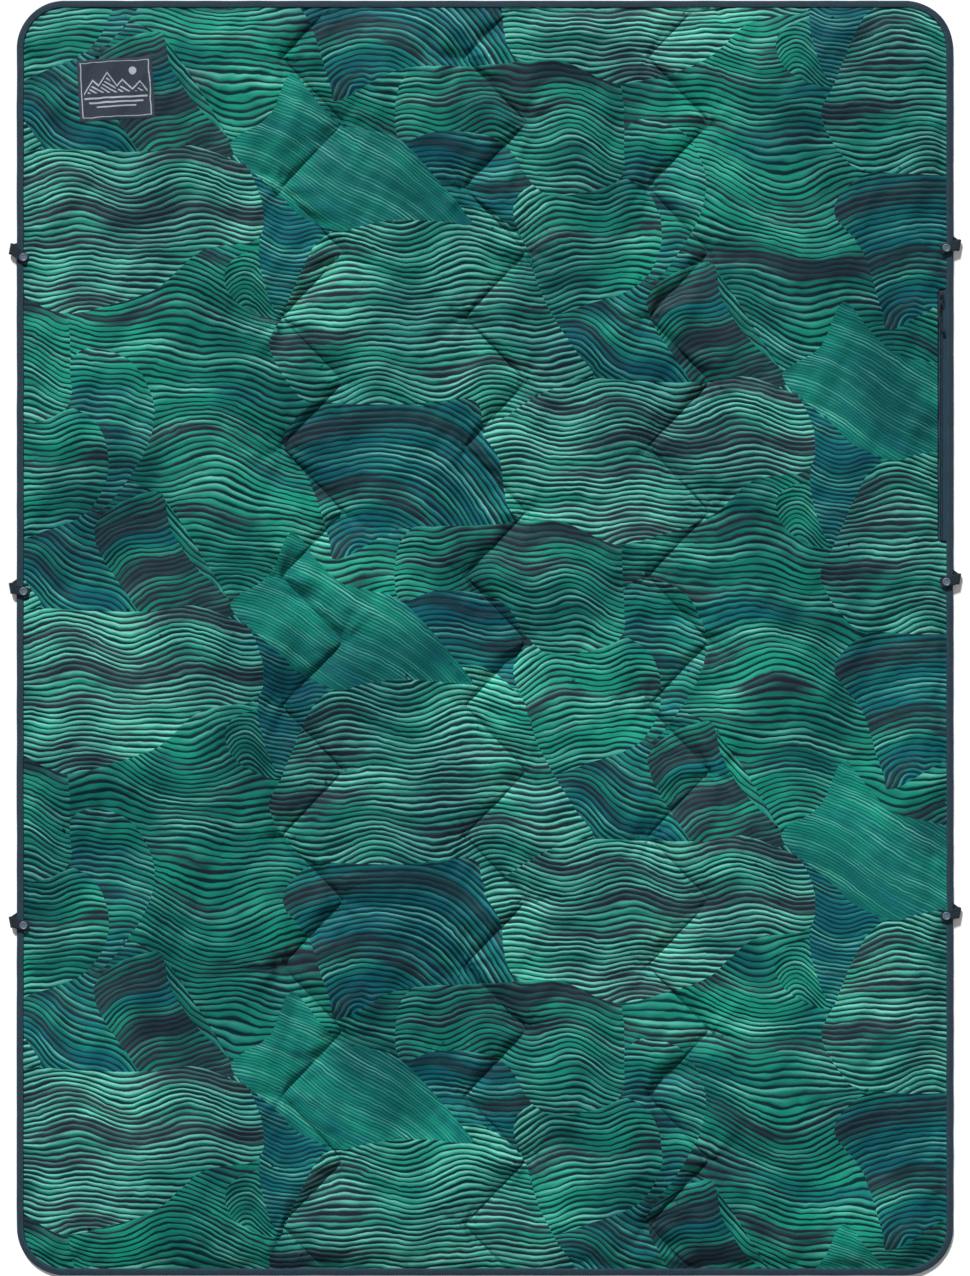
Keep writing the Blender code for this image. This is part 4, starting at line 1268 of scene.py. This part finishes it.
def make_coils(finish):
    """A loop of nylon for each tooth, one side between the other's."""
    pitch = 1.6 * MM
    size = Matrix.Diagonal((0.95 * MM, 0.38 * MM, 0.55 * MM, 1.0))
    for name, side in (("inner", -1), ("outer", 1)):
        low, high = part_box(f"zip_coil_{name}")
        middle = (low + high) / 2
        turned = Matrix.Rotation(side * math.radians(8), 4, "Z") @ size
        first = low.y + (0.75 + 0.5 * (side > 0)) * pitch
        turns = []
        for i in range(int((high.y - low.y) / pitch) - 1):
            at = (middle.x - side * 0.25 * MM, first + i * pitch, middle.z)
            turns.append(Matrix.Translation(at) @ turned)
        pack_away(beads(f"coil_{name}", finish, turns, 8, 6), "root", f"zip_coil_{name}", "coil")


def rounded_block(bm, xs, ys, zs, round_by):
    """A block between these pairs of coordinates, with rounded edges."""
    made = bmesh.ops.create_cube(bm, size=1.0)["verts"]
    low, high = map(Vector, zip(xs, ys, zs))
    bmesh.ops.scale(bm, vec=high - low, verts=made)
    bmesh.ops.translate(bm, vec=(low + high) / 2, verts=made)
    edges = list({edge for vert in made for edge in vert.link_edges})
    bmesh.ops.bevel(
        bm, geom=edges, offset=round_by, segments=3, profile=0.5, affect="EDGES", material=-1
    )


def about(middle, reach):
    return middle - reach, middle + reach


def make_slider(finish):
    """A cast slider: two plates on a neck, flanges round the coils, and a bail for the pull."""
    low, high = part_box("zip_slider")
    middle = (low + high) / 2
    xs, ys = (low.x, high.x), (low.y, high.y)
    floor = low.z
    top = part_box("zip_coil_inner")[1].z + 0.3 * MM
    plate = top + 0.9 * MM
    neck = (middle.y - 1.2 * MM, high.y - 0.2 * MM)
    flange_ys = (low.y + 0.5 * MM, high.y - 0.5 * MM)
    narrow = about(middle.x, MM)
    bm = bmesh.new()
    rounded_block(bm, xs, ys, (floor, floor + 0.85 * MM), 0.3 * MM)
    rounded_block(bm, xs, ys, (top, plate), 0.35 * MM)
    for edge in (low.x + 0.4 * MM, high.x - 0.4 * MM):
        flange_zs = (floor + 1.9 * MM, top + 0.5 * MM)
        rounded_block(bm, about(edge, 0.38 * MM), flange_ys, flange_zs, 0.2 * MM)
    neck_zs = (floor + 0.4 * MM, top + 0.4 * MM)
    rounded_block(bm, about(middle.x, 0.5 * MM), neck, neck_zs, 0.2 * MM)
    for y in about(middle.y, 1.7 * MM):
        rounded_block(bm, narrow, about(y, 0.5 * MM), (plate - 0.4 * MM, high.z), 0.25 * MM)
    rounded_block(bm, narrow, about(middle.y, 2.2 * MM), (high.z - 0.9 * MM, high.z), 0.3 * MM)
    pack_away(piece(bm, "slider", finish), "zip_slider", "zip_slider", "slider")


# The pull's ribbon: how far it strays aside, and at what share of its length
STRAYS = [(0, 0.0), (-0.003, 0.16), (-0.004, 0.37), (-0.0022, 0.62), (0.0012, 0.86), (0.003, 1.0)]


def make_pull(finish, ribbon_finish):
    """The tab on the bail, and the doubled ribbon tied through it."""
    low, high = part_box("zip_pull_tab")
    middle_x, level = (low.x + high.x) / 2, (low.z + high.z) / 2
    zs = about(level, 0.35 * MM)
    bm = bmesh.new()
    for xs in ((low.x, low.x + 1.2 * MM), (high.x - 1.2 * MM, high.x)):
        rounded_block(bm, xs, (low.y, high.y), zs, 0.25 * MM)
    for ys in ((low.y, low.y + 1.0 * MM), (high.y - 1.0 * MM, high.y)):
        rounded_block(bm, (low.x, high.x), ys, zs, 0.25 * MM)
    pack_away(piece(bm, "pull_tab", finish), "zip_pull", "zip_pull_tab", "slider")

    low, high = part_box("zip_pull_ribbon")

    def shape(u, v):
        for (ax, a), (bx, b) in zip(STRAYS, STRAYS[1:]):
            if a <= v <= b + 1e-9:
                x = ax + (bx - ax) * eased(v, a, b)
                break
        knot = 1.0 - 0.25 * math.exp(-(((v - 0.14) / 0.05) ** 2))
        lift = (0.35 * math.sin(v * 9) + noise.noise(Vector((u * 3, v * 6, 3))) * 0.3) * MM
        y = high.y + (low.y - high.y) * v
        return Vector((middle_x + x + (u - 0.5) * 5 * MM * knot, y, level + abs(lift)))

    ribbon = strip("pull_ribbon", ribbon_finish, 6, 50, shape, size=(0.005, 0.046))
    pack_away(thicken(ribbon, 0.6 * MM), "zip_pull", "zip_pull_ribbon", "ribbon")


# Camera, floor and light


CAMERA_HEIGHT = 5.0
SEEN_HEIGHT = 1.9076
SENSOR = 36.0


def make_camera():
    seen = bpy.data.cameras.new("overhead")
    seen.sensor_width = SENSOR
    seen.lens = SENSOR * CAMERA_HEIGHT / SEEN_HEIGHT
    seen.clip_end = 50.0
    made = placed("overhead", seen)
    made.location = UP * CAMERA_HEIGHT
    bpy.context.scene.camera = made


def make_sun(name, towards, power, spread):
    """Even light from one side: a sun of this angle."""
    light = bpy.data.lights.new(name, "SUN")
    light.energy = power
    light.angle = math.radians(spread)
    made = placed(name, light)
    made.location = Vector(towards) * 2
    made.rotation_euler = Vector(towards).to_track_quat("Z", "Y").to_euler()


def make_studio():
    bm = bmesh.new()
    bmesh.ops.create_grid(bm, x_segments=1, y_segments=1, size=40.0)
    bmesh.ops.translate(bm, verts=bm.verts, vec=UP * -0.2 * MM)
    piece(bm, "floor", Finish("pale_floor", (0.86, 0.86, 0.86), 0.9))
    make_sun("key", (-0.45, 1.30, 0.90), 5.6, 8)
    make_sun("fill", (1.2, -0.6, 2.0), 0.5, 60)
    scene = bpy.context.scene
    scene.view_settings.view_transform = "Standard"
    scene.world = bpy.data.worlds.new("studio")
    scene.world.use_nodes = True
    light = scene.world.node_tree.nodes["Background"].inputs
    light["Color"].default_value = (1, 1, 1, 1)
    light["Strength"].default_value = 0.20


def make_blanket():
    """Every piece of the blanket, on its body."""
    surface = Surface()
    thread = thread_finish("teal_thread", (0.008, 0.050, 0.052))
    navy_thread = thread_finish("navy_thread", (0.020, 0.042, 0.062))
    ribbon = ribbed_finish("black_ribbon", (0.009, 0.016, 0.022), 0.65, 0.9 * MM, 0.15 * MM)
    tape = ribbed_finish("zip_tape", (0.012, 0.032, 0.050), 0.7, 0.8 * MM, 0.12 * MM)
    binding = ribbed_finish("navy_binding_tape", (0.012, 0.028, 0.042), 0.68, 0.9 * MM, 0.10 * MM)
    lining = cloth_finish("navy_lining", (0.012, 0.030, 0.048), 0.5, 0.6 * MM, 0.1 * MM)
    backing_cloth = cloth_finish("navy_taffeta", (0.010, 0.026, 0.042), 0.5, 0.7 * MM, 0.15 * MM)
    fluff = cloth_finish("white_batting", (0.70, 0.70, 0.68), 0.95, 3.0 * MM, 0.6 * MM)
    lacquer = cast_finish("grey_snap_lacquer", (0.070, 0.100, 0.135), 0.38, 0.0)
    metal = cast_finish("snap_metal", (0.45, 0.46, 0.48), 0.32, 1.0)
    casting = cast_finish("zip_slider_paint", (0.020, 0.030, 0.040), 0.4, 0.5)
    coil = cast_finish("zip_coil_nylon", (0.020, 0.055, 0.080), 0.35, 0.0)

    face = make_face(surface, printed_finish())
    pack_away(face, "root", "face_fabric", "print")
    backing = make_backing(backing_cloth)
    pack_away(backing, "root", "backing_fabric", "backing")
    batting = make_batting(surface, fluff)
    pack_away(batting, "root", "insulation_batting", "batting")

    pack_away(make_binding(binding), "root", "edge_binding", "binding")
    pack_away(make_binding_stitches(navy_thread), "root", "binding_stitching", "thread_navy")
    for column in SEAMS:
        for kind, above in (("needle", True), ("bobbin", False)):
            seam = make_seam_stitches(surface, column, thread, above)
            pack_away(seam, "root", f"quilt_{kind}_thread_{column}", "thread_teal")

    label = make_label(surface, label_finish())
    pack_away(label, "root", "label_patch", "label")
    sewing = make_label_stitches(surface, navy_thread)
    pack_away(sewing, "root", "label_stitching", "thread_navy")

    make_straps(ribbon, lacquer, metal)
    make_lining(lining)
    make_tapes(tape)
    make_coils(coil)
    make_slider(casting)
    make_pull(casting, ribbon)


make_camera()
make_studio()
make_blanket()
